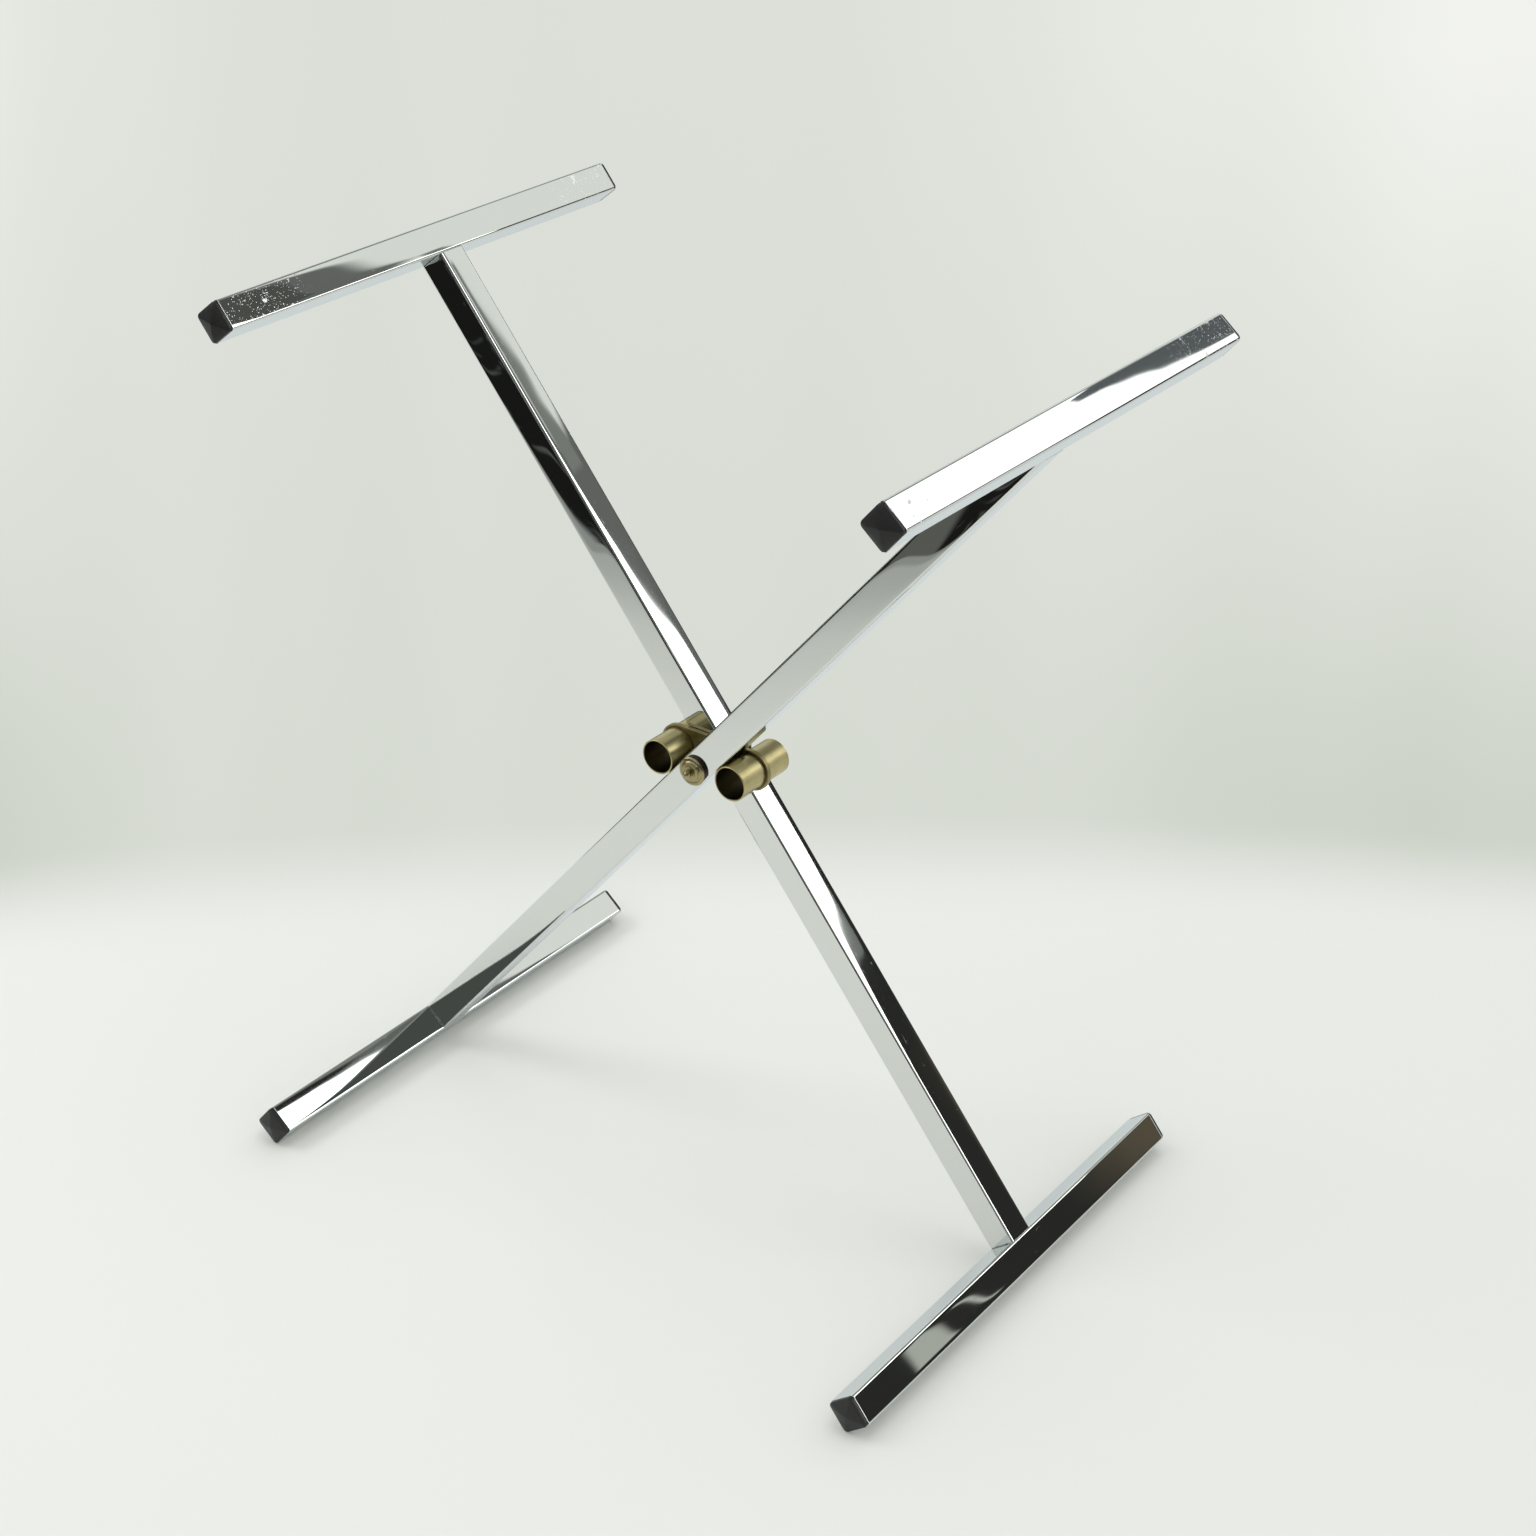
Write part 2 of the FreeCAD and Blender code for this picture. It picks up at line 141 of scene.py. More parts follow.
# %% [markdown]
# ## Chrome plate
# Decorative chromium over nickel on drawn steel tube, polished before plating. It is a mirror, so
# its look is what it reflects, bent a little. The tube's walls are never quite flat: a slow ripple
# makes straight edges in the reflection run in gentle waves, and each wall falls away towards its
# long edges, so reflections hook round there and a thin bright line runs along them. Both are a
# few hundredths of a millimetre deep. They could be cut into a dense mesh, but bump nodes bend the
# reflection just as well and leave the frame's own mesh as it is.

# %% How a wall falls away
WALL_FALL = 0.06 * MM            # how far a wall falls away at its long edges
WALL_CROWN = 6.0                 # the higher this power, the flatter the middle of a wall


def off_plane(tree, place, way, start):
    """How far a place lies along way, counted from start."""
    reach = add(tree, "ShaderNodeVectorMath", {0: place, 1: way}, operation="DOT_PRODUCT")
    return add(tree, "ShaderNodeMath", {0: reach.outputs["Value"], 1: start}, operation="SUBTRACT")


def wall_fall(tree, place, leg, of_bars):
    """How far a wall of a square tube has fallen away, from 0 in its middle to 1 at its edges."""
    along = leg_axis[leg]
    across = bolt_axis.cross(along)
    first = off_plane(tree, place, across, across.dot(pivot))
    if of_bars:
        up_leg = off_plane(tree, place, along, along.dot(pivot))
        from_pivot = add(tree, "ShaderNodeMath", {0: up_leg}, operation="ABSOLUTE")
        second = add(tree, "ShaderNodeMath", {0: from_pivot, 1: bar_reach}, operation="SUBTRACT")
    else:
        second = off_plane(tree, place, bolt_axis, leg_depth[leg])
    corner = add(tree, "ShaderNodeMath", {0: first, 1: second}, operation="MULTIPLY")
    share = add(tree, "ShaderNodeMath", {0: corner, 1: (2 / tube) ** 2}, operation="MULTIPLY")
    size = add(tree, "ShaderNodeMath", {0: share}, operation="ABSOLUTE")
    return add(tree, "ShaderNodeMath", {0: size, 1: WALL_CROWN}, operation="POWER")


print(f"walls of {tube / MM:.1f} mm tube fall {WALL_FALL / MM:.2f} mm at their edges")

# %% [markdown]
# Two kinds of wear dull the mirror. Polishing leaves hairlines that run nearly along the tube, and
# hands leave small pits and blooms of pale corrosion near the ends of the top bars. Both are
# noise: stretched along the tube for the hairlines, and gathered in patches for the corrosion.

# %% Hairlines and corrosion
HAIRLINE_WIDTH = 0.5 * MM        # real hairlines are far finer; this is as fine as shows
HAIRLINE_STRETCH = 24.0
PIT_SPACING = 1.0 * MM
BLOOM_SIZE = 8 * MM
WEAR_FADES_IN = 70 * MM          # from the end of a bar
WEAR_IS_FULL = 12 * MM


def hairlines(tree, place, along):
    """Share of dullness that a fine scratch gives a place."""
    laid = add(tree, "ShaderNodeMapping", {
        "Vector": place, "Rotation": along.to_track_quat("Z", "Y").to_euler(),
        "Scale": (1.0, 1.0, HAIRLINE_STRETCH)}, vector_type="TEXTURE")
    hairs = add(tree, "ShaderNodeTexNoise", {"Vector": laid, "Detail": 2.0,
                                             "Scale": 1 / HAIRLINE_WIDTH, "Distortion": 0.4})
    return add(tree, "ShaderNodeMapRange", {"Value": hairs, "From Min": 0.70, "From Max": 0.80,
                                            "To Max": 0.3})


def off_centre(tree, place):
    """How far a place lies from the middle of the stand, along the bars."""
    spot = add(tree, "ShaderNodeSeparateXYZ", {0: place})
    return add(tree, "ShaderNodeMath", {0: spot.outputs["Y"]}, operation="ABSOLUTE")


def pits_and_blooms(tree, place):
    """Where the plate is corroded: specks gathered round patches, and the patches' cores."""
    cells = add(tree, "ShaderNodeTexVoronoi", {"Vector": place, "Scale": 1 / PIT_SPACING})
    chance = add(tree, "ShaderNodeSeparateColor", {0: cells.outputs["Color"]})
    pit_size = add(tree, "ShaderNodeMapRange", {"Value": chance, "From Min": 0.35, "To Max": 0.40})
    specks = add(tree, "ShaderNodeMath", {0: cells.outputs["Distance"], 1: pit_size},
                 operation="LESS_THAN")
    patches = add(tree, "ShaderNodeTexNoise", {"Vector": place, "Scale": 1 / BLOOM_SIZE,
                                               "Detail": 6.0, "Roughness": 0.65})
    around = add(tree, "ShaderNodeMapRange", {"Value": patches, "From Min": 0.42,
                                              "From Max": 0.50})
    blooms = add(tree, "ShaderNodeMapRange", {"Value": patches, "From Min": 0.62,
                                              "From Max": 0.64})
    gathered = add(tree, "ShaderNodeMath", {0: specks, 1: around}, operation="MULTIPLY")
    return add(tree, "ShaderNodeMath", {0: gathered, 1: blooms}, operation="MAXIMUM")


def handled(tree, place):
    """Where hands reach: the ends of the two top bars."""
    near_end = add(tree, "ShaderNodeMapRange", {"Value": off_centre(tree, place),
                                                "From Min": bar_half - WEAR_FADES_IN,
                                                "From Max": bar_half - WEAR_IS_FULL})
    spot = add(tree, "ShaderNodeSeparateXYZ", {0: place})
    upper = add(tree, "ShaderNodeMath", {0: spot.outputs["Z"], 1: pivot.z},
                operation="GREATER_THAN")
    return add(tree, "ShaderNodeMath", {0: near_end, 1: upper}, operation="MULTIPLY")


print(f"corrosion over the last {WEAR_FADES_IN / MM:.0f} mm of each top bar")

# %% Chrome material
RIPPLE_LENGTH = 50 * MM
RIPPLE_HEIGHT = 0.038 * MM
END_ROUNDING = 0.6 * MM          # the plate rolls over at the cut ends of the bars
MIRROR, DULL = 0.018, 0.45       # roughness of clean plate and of corrosion


def chrome_plate(name, leg, of_bars):
    """Chrome for one leg's tube or its bars."""
    made, tree, shader, place = new_material(name)
    ripple = add(tree, "ShaderNodeTexNoise", {"Vector": place, "Scale": 1 / RIPPLE_LENGTH,
                                              "Detail": 1.0, "Roughness": 0.35})
    wavy = add(tree, "ShaderNodeBump", {"Strength": 1.0, "Distance": RIPPLE_HEIGHT,
                                        "Height": ripple})
    walls = add(tree, "ShaderNodeBump", {
        "Strength": 1.0, "Distance": WALL_FALL, "Normal": wavy,
        "Height": wall_fall(tree, place, leg, of_bars)}, invert=True)
    to_end = add(tree, "ShaderNodeMapRange", {"Value": off_centre(tree, place),
                                              "From Min": bar_half - END_ROUNDING,
                                              "From Max": bar_half})
    fallen = add(tree, "ShaderNodeMath", {0: to_end, 1: 2.0}, operation="POWER")
    edge = add(tree, "ShaderNodeBump", {"Strength": 1.0, "Distance": END_ROUNDING / 2,
                                        "Height": fallen, "Normal": walls}, invert=True)
    worn = add(tree, "ShaderNodeMath", {0: pits_and_blooms(tree, place), 1: handled(tree, place)},
               operation="MULTIPLY")
    hair = hairlines(tree, place, bolt_axis if of_bars else leg_axis[leg])
    dull = add(tree, "ShaderNodeMath", {0: worn, 1: hair}, operation="MAXIMUM")
    sheen = add(tree, "ShaderNodeMapRange", {"Value": dull, "To Min": MIRROR, "To Max": DULL})
    plated = add(tree, "ShaderNodeMapRange", {"Value": worn, "To Min": 1.0, "To Max": 0.3})
    feed(shader, {"Base Color": colour("#DCDFDC"), "Specular Tint": colour("#EEF3FA"),
                  "Metallic": plated, "Roughness": sheen, "Normal": edge})
    return made


for leg in ("front", "rear"):
    coat(chrome_plate(f"chrome plate on steel tube, {leg} leg", leg, False), f"{leg}_leg_tube")
    coat(chrome_plate(f"chrome plate on steel tube, {leg} bars", leg, True),
         f"{leg}_leg_top_bar", f"{leg}_leg_bottom_bar")

# %% [markdown]
# ## Satin brass
# The sleeves are cut from drawn brass tube and the link from brass strip. Handling has dulled them
# to an olive gold, so highlights are broad and soft, with fine turned lines round the sleeves. The
# strip is a little darker. The brazing metal round the sleeves is dark brown as painted shade of the
# crease where each sleeve enters the link. The brasses differ only in tone, gloss and depth of line,
# so one function makes them all. Painted shade also darkens the bores of the sleeves and the nuts
# where they meet their washers, placed by a rule.

# %% Where the sleeves and nuts sit
link_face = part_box("link_plate")[1].y
sleeve_low, sleeve_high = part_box("right_stop_sleeve")
nut_low, nut_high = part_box("rear_cap_nut")
sleeve_reach = (sleeve_low.x + sleeve_high.x) / 2 - pivot.x
sleeve_radius = (sleeve_high.x - sleeve_low.x) / 2
print(f"sleeves {2 * sleeve_radius / MM:.1f} mm wide, {sleeve_reach / MM:.1f} mm from the pivot")


# %% Where painted shade darkens the brass
BORE_IS_SHADED = 0.9 * MM         # in from the outside of a sleeve
WALL_IS_UNSHADED = 0.6 * MM
SEAT_IS_SHADED = 0.7 * MM         # up from the seat of a nut
FLANGE_IS_UNSHADED = 1.3 * MM


def shade_inside_sleeves(tree, place):
    """Painted shade in the bores: full darkening nearer to a sleeve's axis than its wall."""
    spot = add(tree, "ShaderNodeSeparateXYZ", {0: place})
    aside = add(tree, "ShaderNodeMath", {0: spot.outputs["X"]}, operation="ABSOLUTE")
    across = add(tree, "ShaderNodeMath", {0: aside, 1: sleeve_reach}, operation="SUBTRACT")
    up = add(tree, "ShaderNodeMath", {0: spot.outputs["Z"], 1: pivot.z}, operation="SUBTRACT")
    flat = add(tree, "ShaderNodeCombineXYZ", {0: across, 1: up})
    radius = add(tree, "ShaderNodeVectorMath", {0: flat}, operation="LENGTH").outputs["Value"]
    return add(tree, "ShaderNodeMapRange", {"Value": radius,
                                            "From Min": sleeve_radius - WALL_IS_UNSHADED,
                                            "From Max": sleeve_radius - BORE_IS_SHADED})


def shade_under_nuts(tree, place):
    """Painted shade where a nut meets its washer, fading out over the flange's edge."""
    return add(tree, "ShaderNodeMapRange", {"Value": off_centre(tree, place),
                                            "From Min": nut_low.y + FLANGE_IS_UNSHADED,
                                            "From Max": nut_low.y + SEAT_IS_SHADED})


print(f"bores darkened by painted shade within {(sleeve_radius - BORE_IS_SHADED) / MM:.1f} mm of a sleeve's axis")

# %% Brass materials
MOTTLE_SIZE = 7 * MM
LINE_SPACING = 0.35 * MM         # turned lines, drawn coarser than real ones so that they show
LINE_STRETCH = 0.04              # how slowly they change on their way round a sleeve


def satin_brass(name, hex_code, dark_hex, roughness, line_depth, painted_shade=None):
    """Dull brass, mottled and finely turned. The last argument, if given, says where painted shade darkens it."""
    made, tree, shader, place = new_material(name)
    mottle = add(tree, "ShaderNodeTexNoise", {"Vector": place, "Scale": 1 / MOTTLE_SIZE,
                                              "Detail": 3.0})
    tarnish = add(tree, "ShaderNodeMapRange", {"Value": mottle, "From Min": 0.35,
                                               "From Max": 0.75, "To Max": 0.45})
    tone = add(tree, "ShaderNodeMix", {"Factor": tarnish, "A": colour(hex_code),
                                       "B": colour(dark_hex)}, data_type="RGBA")
    # Painted shade: the brass is mixed towards a dark olive (#6A6350) where the mask says.
    if painted_shade:
        tone = add(tree, "ShaderNodeMix", {
            "Factor": painted_shade(tree, place), "A": tone.outputs["Result"],
            "B": colour("#6A6350")}, data_type="RGBA")
    turned = add(tree, "ShaderNodeMapping", {"Vector": place,
                                             "Scale": (LINE_STRETCH, 1.0, LINE_STRETCH)})
    lines = add(tree, "ShaderNodeTexNoise", {"Vector": turned, "Scale": 1 / LINE_SPACING,
                                             "Detail": 3.0})
    brushed = add(tree, "ShaderNodeBump", {"Strength": 0.5, "Distance": line_depth,
                                           "Height": lines})
    feed(shader, {"Metallic": 1.0, "Roughness": roughness, "Normal": brushed,
                  "Base Color": tone.outputs["Result"]})
    return made


# The sleeves' brass is darkened with painted shade inside their bores.
sleeve_brass = satin_brass("drawn brass tube, dulled", "#B8AE80", "#948A62", 0.30, 0.004 * MM,
                           shade_inside_sleeves)
strip_brass = satin_brass("sheared brass strip, dulled", "#978C62", "#6B6142", 0.36, 0.010 * MM)
# The nuts' brass is darkened with painted shade at their seats on the washers.
nut_brass = satin_brass("turned brass, dulled", "#A69B74", "#887C5A", 0.26, 0.001 * MM, shade_under_nuts)
# The brazing brass is dark brown as painted shade of the crease round each sleeve.
braze_with_painted_shade = satin_brass("brazing brass, dark brown as painted crease shade", "#5E5236", "#3A3122", 0.42, 0.010 * MM)
coat(sleeve_brass, "left_stop_sleeve", "right_stop_sleeve")
coat(strip_brass, "link_plate")

# %% [markdown]
# ## Plain metals in the pivot
# The washers under the cap nuts are blackened steel, which shows as a dark crescent. The bolt,
# bushes and thin washers are plain ground steel. Hardly any of them shows, so a plain metal with
# a little unevenness in its gloss is enough.

# %% Steel materials
STEEL_GRAIN = 0.6 * MM
GLOSS_SPREAD = 0.1


def steel(name, hex_code, roughness):
    """Machined steel with a faint all-over grain."""
    made, tree, shader, place = new_material(name)
    grain = add(tree, "ShaderNodeTexNoise", {"Vector": place, "Scale": 1 / STEEL_GRAIN,
                                             "Detail": 3.0})
    sheen = add(tree, "ShaderNodeMapRange", {"Value": grain, "To Min": roughness - GLOSS_SPREAD,
                                             "To Max": roughness + GLOSS_SPREAD})
    feed(shader, {"Base Color": colour(hex_code), "Metallic": 1.0, "Roughness": sheen})
    return made


blackened = steel("blackened steel", "#45403A", 0.45)
ground = steel("ground steel", "#B9B9B6", 0.35)
coat(blackened, "front_face_washer", "rear_face_washer")
coat(ground, "pivot_bolt", "front_link_washer", "rear_link_washer",
     "front_leg_pivot_bush", "rear_leg_pivot_bush")

# %% [markdown]
# ## Four places at once
# The caps, the welds and the brazed rings all come in fours, at the corners of a rectangle. They
# could be copied one by one, but one Geometry Nodes tree serves all three: it puts copies of the
# object's own mesh at the corners, turned so that each faces its own way, and then lays the whole
# set in the frame. Copies are realised at the end, because only real geometry is exported.

# %% The tree that repeats a piece at four corners
def corner_tree(name, turn_rule):
    """Tree with named sizes. turn_rule(tree, spot) gives the turn of a copy at a corner."""
    tree = bpy.data.node_groups.new(name, "GeometryNodeTree")
    for label, kind in (("Piece", "Geometry"), ("Half Depth", "Float"), ("Half Height", "Float"),
                        ("Centre", "Vector"), ("Lie", "Rotation"), ("Finish", "Material")):
        tree.interface.new_socket(label, in_out="INPUT", socket_type="NodeSocket" + kind)
    tree.interface.new_socket("Set", in_out="OUTPUT", socket_type="NodeSocketGeometry")
    given = add(tree, "NodeGroupInput").outputs
    depth = add(tree, "ShaderNodeMath", {0: given["Half Depth"], 1: 2.0}, operation="MULTIPLY")
    height = add(tree, "ShaderNodeMath", {0: given["Half Height"], 1: 2.0}, operation="MULTIPLY")
    grid = add(tree, "GeometryNodeMeshGrid", {"Size X": height, "Size Y": depth,
                                              "Vertices X": 2, "Vertices Y": 2})
    upright = add(tree, "GeometryNodeTransform", {"Geometry": grid,
                                                  "Rotation": (0, -math.pi / 2, 0)})
    spot = add(tree, "ShaderNodeSeparateXYZ", {0: add(tree, "GeometryNodeInputPosition")})
    copies = add(tree, "GeometryNodeInstanceOnPoints", {
        "Points": upright, "Instance": given["Piece"], "Rotation": turn_rule(tree, spot.outputs)})
    laid = add(tree, "GeometryNodeTransform", {"Geometry": copies, "Rotation": given["Lie"],
                                               "Translation": given["Centre"]})
    solid = add(tree, "GeometryNodeRealizeInstances", {0: laid})
    finished = add(tree, "GeometryNodeSetMaterial", {"Geometry": solid,
                                                     "Material": given["Finish"]})
    add(tree, "NodeGroupOutput", {0: finished})
    print(f"{name}: a tree of {len(tree.nodes)} nodes")
    return tree


# %% Run the tree and keep a plain mesh
CREASE = math.radians(32)


def repeat(name, mesh, tree, sizes):
    """Run a tree on a mesh and keep the result as a plain mesh object."""
    seed = new_object(name + "_seed", mesh)
    modifier = seed.modifiers.new("repeat", "NODES")
    modifier.node_group = tree
    for item in tree.interface.items_tree:
        if item.name in sizes:
            modifier[item.identifier] = sizes[item.name]
    shaped = seed.evaluated_get(bpy.context.evaluated_depsgraph_get())
    made = new_object(name, bpy.data.meshes.new_from_object(shaped))
    bpy.data.objects.remove(seed)
    made.data.set_sharp_from_angle(angle=CREASE)
    print(f"{name}: {len(made.data.polygons)} faces")
    return made


def leg_sizes(leg, depth, half_depth, half_height, finish):
    """The tree's sizes for a set that lies along one leg, centred at a depth on the bolt."""
    along = leg_axis[leg]
    lie = Matrix((bolt_axis.cross(along), bolt_axis, along)).transposed().to_euler()
    return {"Half Depth": half_depth, "Half Height": half_height, "Lie": lie,
            "Centre": pivot + Vector((0, depth, 0)), "Finish": finish}


# %% [markdown]
# ## End caps
# Black polyethylene caps, injection moulded, pushed into the ends of the bars. Each has a flange as
# wide as the tube, with soft corners, and a low four-sided crown. A cube with bevels could make
# one, but its whole shape is a square that changes width as it goes outwards, so it is lofted
# through rounded squares.

# %% Moulded polyethylene
MOULD_GRAIN = 0.5 * MM
MOULD_DEPTH = 0.03 * MM
SCUFF_SIZE = 7 * MM


def moulded_black(name):
    """Satin black plastic: slightly uneven gloss and the fine grain of a sparked mould."""
    made, tree, shader, place = new_material(name)
    grain = add(tree, "ShaderNodeTexNoise", {"Vector": place, "Scale": 1 / MOULD_GRAIN,
                                             "Detail": 2.0})
    dents = add(tree, "ShaderNodeBump", {"Strength": 0.35, "Distance": MOULD_DEPTH,
                                         "Height": grain})
    scuffs = add(tree, "ShaderNodeTexNoise", {"Vector": place, "Scale": 1 / SCUFF_SIZE,
                                              "Detail": 4.0})
    sheen = add(tree, "ShaderNodeMapRange", {"Value": scuffs, "From Min": 0.3, "From Max": 0.7,
                                             "To Min": 0.34, "To Max": 0.52})
    feed(shader, {"Base Color": colour("#1D1E1D"), "IOR": 1.51, "Specular IOR Level": 0.36,
                  "Roughness": sheen, "Normal": dents})
    return made


black_caps = moulded_black("moulded polyethylene, black")
print(black_caps.name, "has", len(black_caps.node_tree.nodes), "nodes")

# %% Loft through rings of points
CORNER_STEPS = 5


def rounded_square(half, corner, outwards):
    """Points round a square with rounded corners, at one distance along the bar."""
    points = []
    for quarter in range(4):
        for step in range(CORNER_STEPS + 1):
            turn = math.radians(90 * quarter + 90 * step / CORNER_STEPS)
            middle = math.radians(90 * quarter + 45)
            x = math.copysign(half - corner, math.cos(middle)) + corner * math.cos(turn)
            z = math.copysign(half - corner, math.sin(middle)) + corner * math.sin(turn)
            points.append(Vector((x, outwards, z)))
    return points


def smooth_mesh(name, shape):
    """Turn the faces of a closed shape outwards and keep it as a smooth mesh."""
    bmesh.ops.recalc_face_normals(shape, faces=shape.faces)
    mesh = bpy.data.meshes.new(name)
    shape.to_mesh(mesh)
    shape.free()
    mesh.shade_smooth()
    print(f"{name}: {len(mesh.polygons)} faces")
    return mesh


def loft(name, rings, round_again=False):
    """A closed mesh through rings of points; the last joins the first, or both are capped."""
    shape = bmesh.new()
    loops = [[shape.verts.new(point) for point in ring] for ring in rings]
    following = loops[1:] + loops[:1] if round_again else loops[1:]
    for first, second in zip(loops, following):
        for i in range(len(first)):
            j = (i + 1) % len(first)
            shape.faces.new((first[i], first[j], second[j], second[i]))
    if not round_again:
        shape.faces.new(loops[0])
        shape.faces.new(loops[-1])
    return smooth_mesh(name, shape)


# %% The cap's shape
flange = tube / 2
crown_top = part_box("front_leg_top_bar_back_cap")[1].y - bar_half
PLUG_INSET = 1.55 * MM              # the tube's wall and a little room
plug_half = tube / 2 - PLUG_INSET
# Half width, corner radius and distance out from the end of the tube: plug, flange and crown.
CAP_RINGS = [
    (plug_half - 0.8 * MM, 0.5 * MM, -11.9 * MM), (plug_half, 0.6 * MM, -11.0 * MM),
    (plug_half, 0.6 * MM, 0.03 * MM), (flange - 0.30 * MM, 2.6 * MM, 0.03 * MM),
    (flange - 0.08 * MM, 2.8 * MM, 0.20 * MM), (flange - 0.06 * MM, 2.8 * MM, 1.45 * MM),
    (flange - 0.20 * MM, 2.7 * MM, 1.85 * MM), (flange - 0.60 * MM, 2.4 * MM, 2.10 * MM),
    (flange * 0.66, 1.3 * MM, 2.95 * MM), (flange * 0.33, 0.6 * MM, 3.75 * MM),
    (flange * 0.10, 0.3 * MM, 4.30 * MM), (flange * 0.04, 0.1 * MM, crown_top - 0.1 * MM)]
cap_mesh = loft("end cap", [rounded_square(*ring) for ring in CAP_RINGS])


# %% Push the caps into the bars
def face_own_end(tree, spot):
    """A piece in front of the middle is turned half round, to face forwards."""
    front = add(tree, "ShaderNodeMath", {0: spot["Y"], 1: 0.0}, operation="LESS_THAN")
    half_turn = add(tree, "ShaderNodeMath", {0: front, 1: math.pi}, operation="MULTIPLY")
    return add(tree, "ShaderNodeCombineXYZ", {"Z": half_turn})


cap_tree = corner_tree("caps on bar ends", face_own_end)
for leg in ("front", "rear"):
    caps = repeat(f"{leg}_leg_end_caps", cap_mesh, cap_tree,
                  leg_sizes(leg, 0.0, bar_half, bar_reach, black_caps))
    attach(caps, f"{leg}_leg")
    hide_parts(*[f"{leg}_leg_{end}_bar_{face}_cap" for end in ("top", "bottom")
                        for face in ("front", "back")])

# %% [markdown]
# ## Welds
# Each leg is welded to its bars along the front and back of the joint, ground smooth, and plated
# with the rest. The bead is a short hollow fillet that swells and shrinks along its length. A bevel
# would be too even, so it is lofted along the seam with a small wave in its size.

# %% Plated weld metal
STAIN_SIZE = 3 * MM


def plated_weld(name):
    """Chrome over a ground weld: less bright than the tube, with brown stains at the edge."""
    made, tree, shader, place = new_material(name)
    stains = add(tree, "ShaderNodeTexNoise", {"Vector": place, "Scale": 1 / STAIN_SIZE,
                                              "Detail": 4.0})
    brown = add(tree, "ShaderNodeMapRange", {"Value": stains, "From Min": 0.5, "From Max": 0.7,
                                             "To Max": 0.7})
    tone = add(tree, "ShaderNodeMix", {"Factor": brown, "A": colour("#D2D4D2"),
                                       "B": colour("#7A6E5A")}, data_type="RGBA")
    feed(shader, {"Metallic": 1.0, "Roughness": 0.30, "Base Color": tone.outputs["Result"]})
    return made


plated = plated_weld("chrome plate over ground weld")
print(plated.name, "has", len(plated.node_tree.nodes), "nodes")

# %% The bead's shape
BEAD_STEPS = 34                     # along the seam
ARC_STEPS = 5                       # round the hollow
BEAD_STOPS_SHORT = 1.5 * MM         # of each corner of the tube
weld_low, weld_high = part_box("front_leg_top_back_weld")
bead_size = weld_high.y - weld_low.y
bead_half = tube / 2 - BEAD_STOPS_SHORT


def bead_section(x, size):
    """A hollow fillet in the corner that opens along +Y and -Z, its arc bulging inwards."""
    centre = Vector((x, size, -size))
    turns = [math.radians(-90 + 90 * i / ARC_STEPS) for i in range(ARC_STEPS + 1)]
    arc = [centre + size * Vector((0, math.sin(a), math.cos(a))) for a in turns]
    return [Vector((x, 0, 0))] + arc


def bead_rings():
    """Sections along the seam; the size waves a little and tapers at both ends."""
    sections = []
    for step in range(BEAD_STEPS + 1):
        share = step / BEAD_STEPS
        wave = 0.55 + 0.07 * math.sin(19 * share + 1) + 0.04 * math.sin(47 * share)
        taper = min(1.0, 0.35 + 6 * min(share, 1 - share))
        sections.append(bead_section((2 * share - 1) * bead_half, bead_size * wave * taper))
    return sections


bead_mesh = loft("weld bead", bead_rings())


# %% Weld the legs to their bars
def face_own_corner(tree, spot):
    """A bead turns about the seam by the corner's own quarter."""
    quarter = add(tree, "ShaderNodeMath", {0: spot["Z"], 1: spot["Y"]}, operation="ARCTAN2")
    turn = add(tree, "ShaderNodeMath", {0: math.pi / 4, 1: quarter}, operation="SUBTRACT")
    return add(tree, "ShaderNodeCombineXYZ", {"X": turn})


weld_tree = corner_tree("welds on leg ends", face_own_corner)
for leg in ("front", "rear"):
    welds = repeat(f"{leg}_leg_welds", bead_mesh, weld_tree,
                   leg_sizes(leg, leg_depth[leg], tube / 2, seam_reach, plated))
    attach(welds, f"{leg}_leg")
    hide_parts(*[f"{leg}_leg_{end}_{face}_weld" for end in ("top", "bottom")
                         for face in ("front", "back")])

# %% [markdown]
# ## Cap nuts
# Blind nuts turned from brass bar: a crowned flange with a groove, a shoulder, a hollow cone and a
# ball on the tip. Stacked cylinders would leave seams between them. A turned piece is one outline
# spun round its axis, so it is spun here too.

# %% The nut's outline
nut_height = nut_high.y - nut_low.y
nut_flange = (nut_high.x - nut_low.x) / 2
NUT_BORE, BORE_DEPTH = 4.05 * MM, 4.0 * MM
# The flange, as mm in from its edge and mm up from the seat: foot, crown and groove.
FLANGE_STEPS = [(1.4, 0), (0.1, 0.6), (0, 1.0), (0.25, 1.4), (1.1, 1.72), (1.9, 1.9),
                (2.2, 1.65), (2.5, 1.92)]
SHOULDER = [(6.35, 2.25), (6.2, 2.45), (6.15, 3.1)]      # radius and height, mm
CONE_NECK, CONE_SPREAD, CONE_HOLLOW = 2.25 * MM, 3.75 * MM, 1.7
CONE_FOOT, CONE_RISE, CONE_STEPS = 3.35 * MM, 0.6 * MM, 8
BALL, BALL_FROM, BALL_STEPS = 2.7 * MM, -38, 14          # radius, degrees, steps


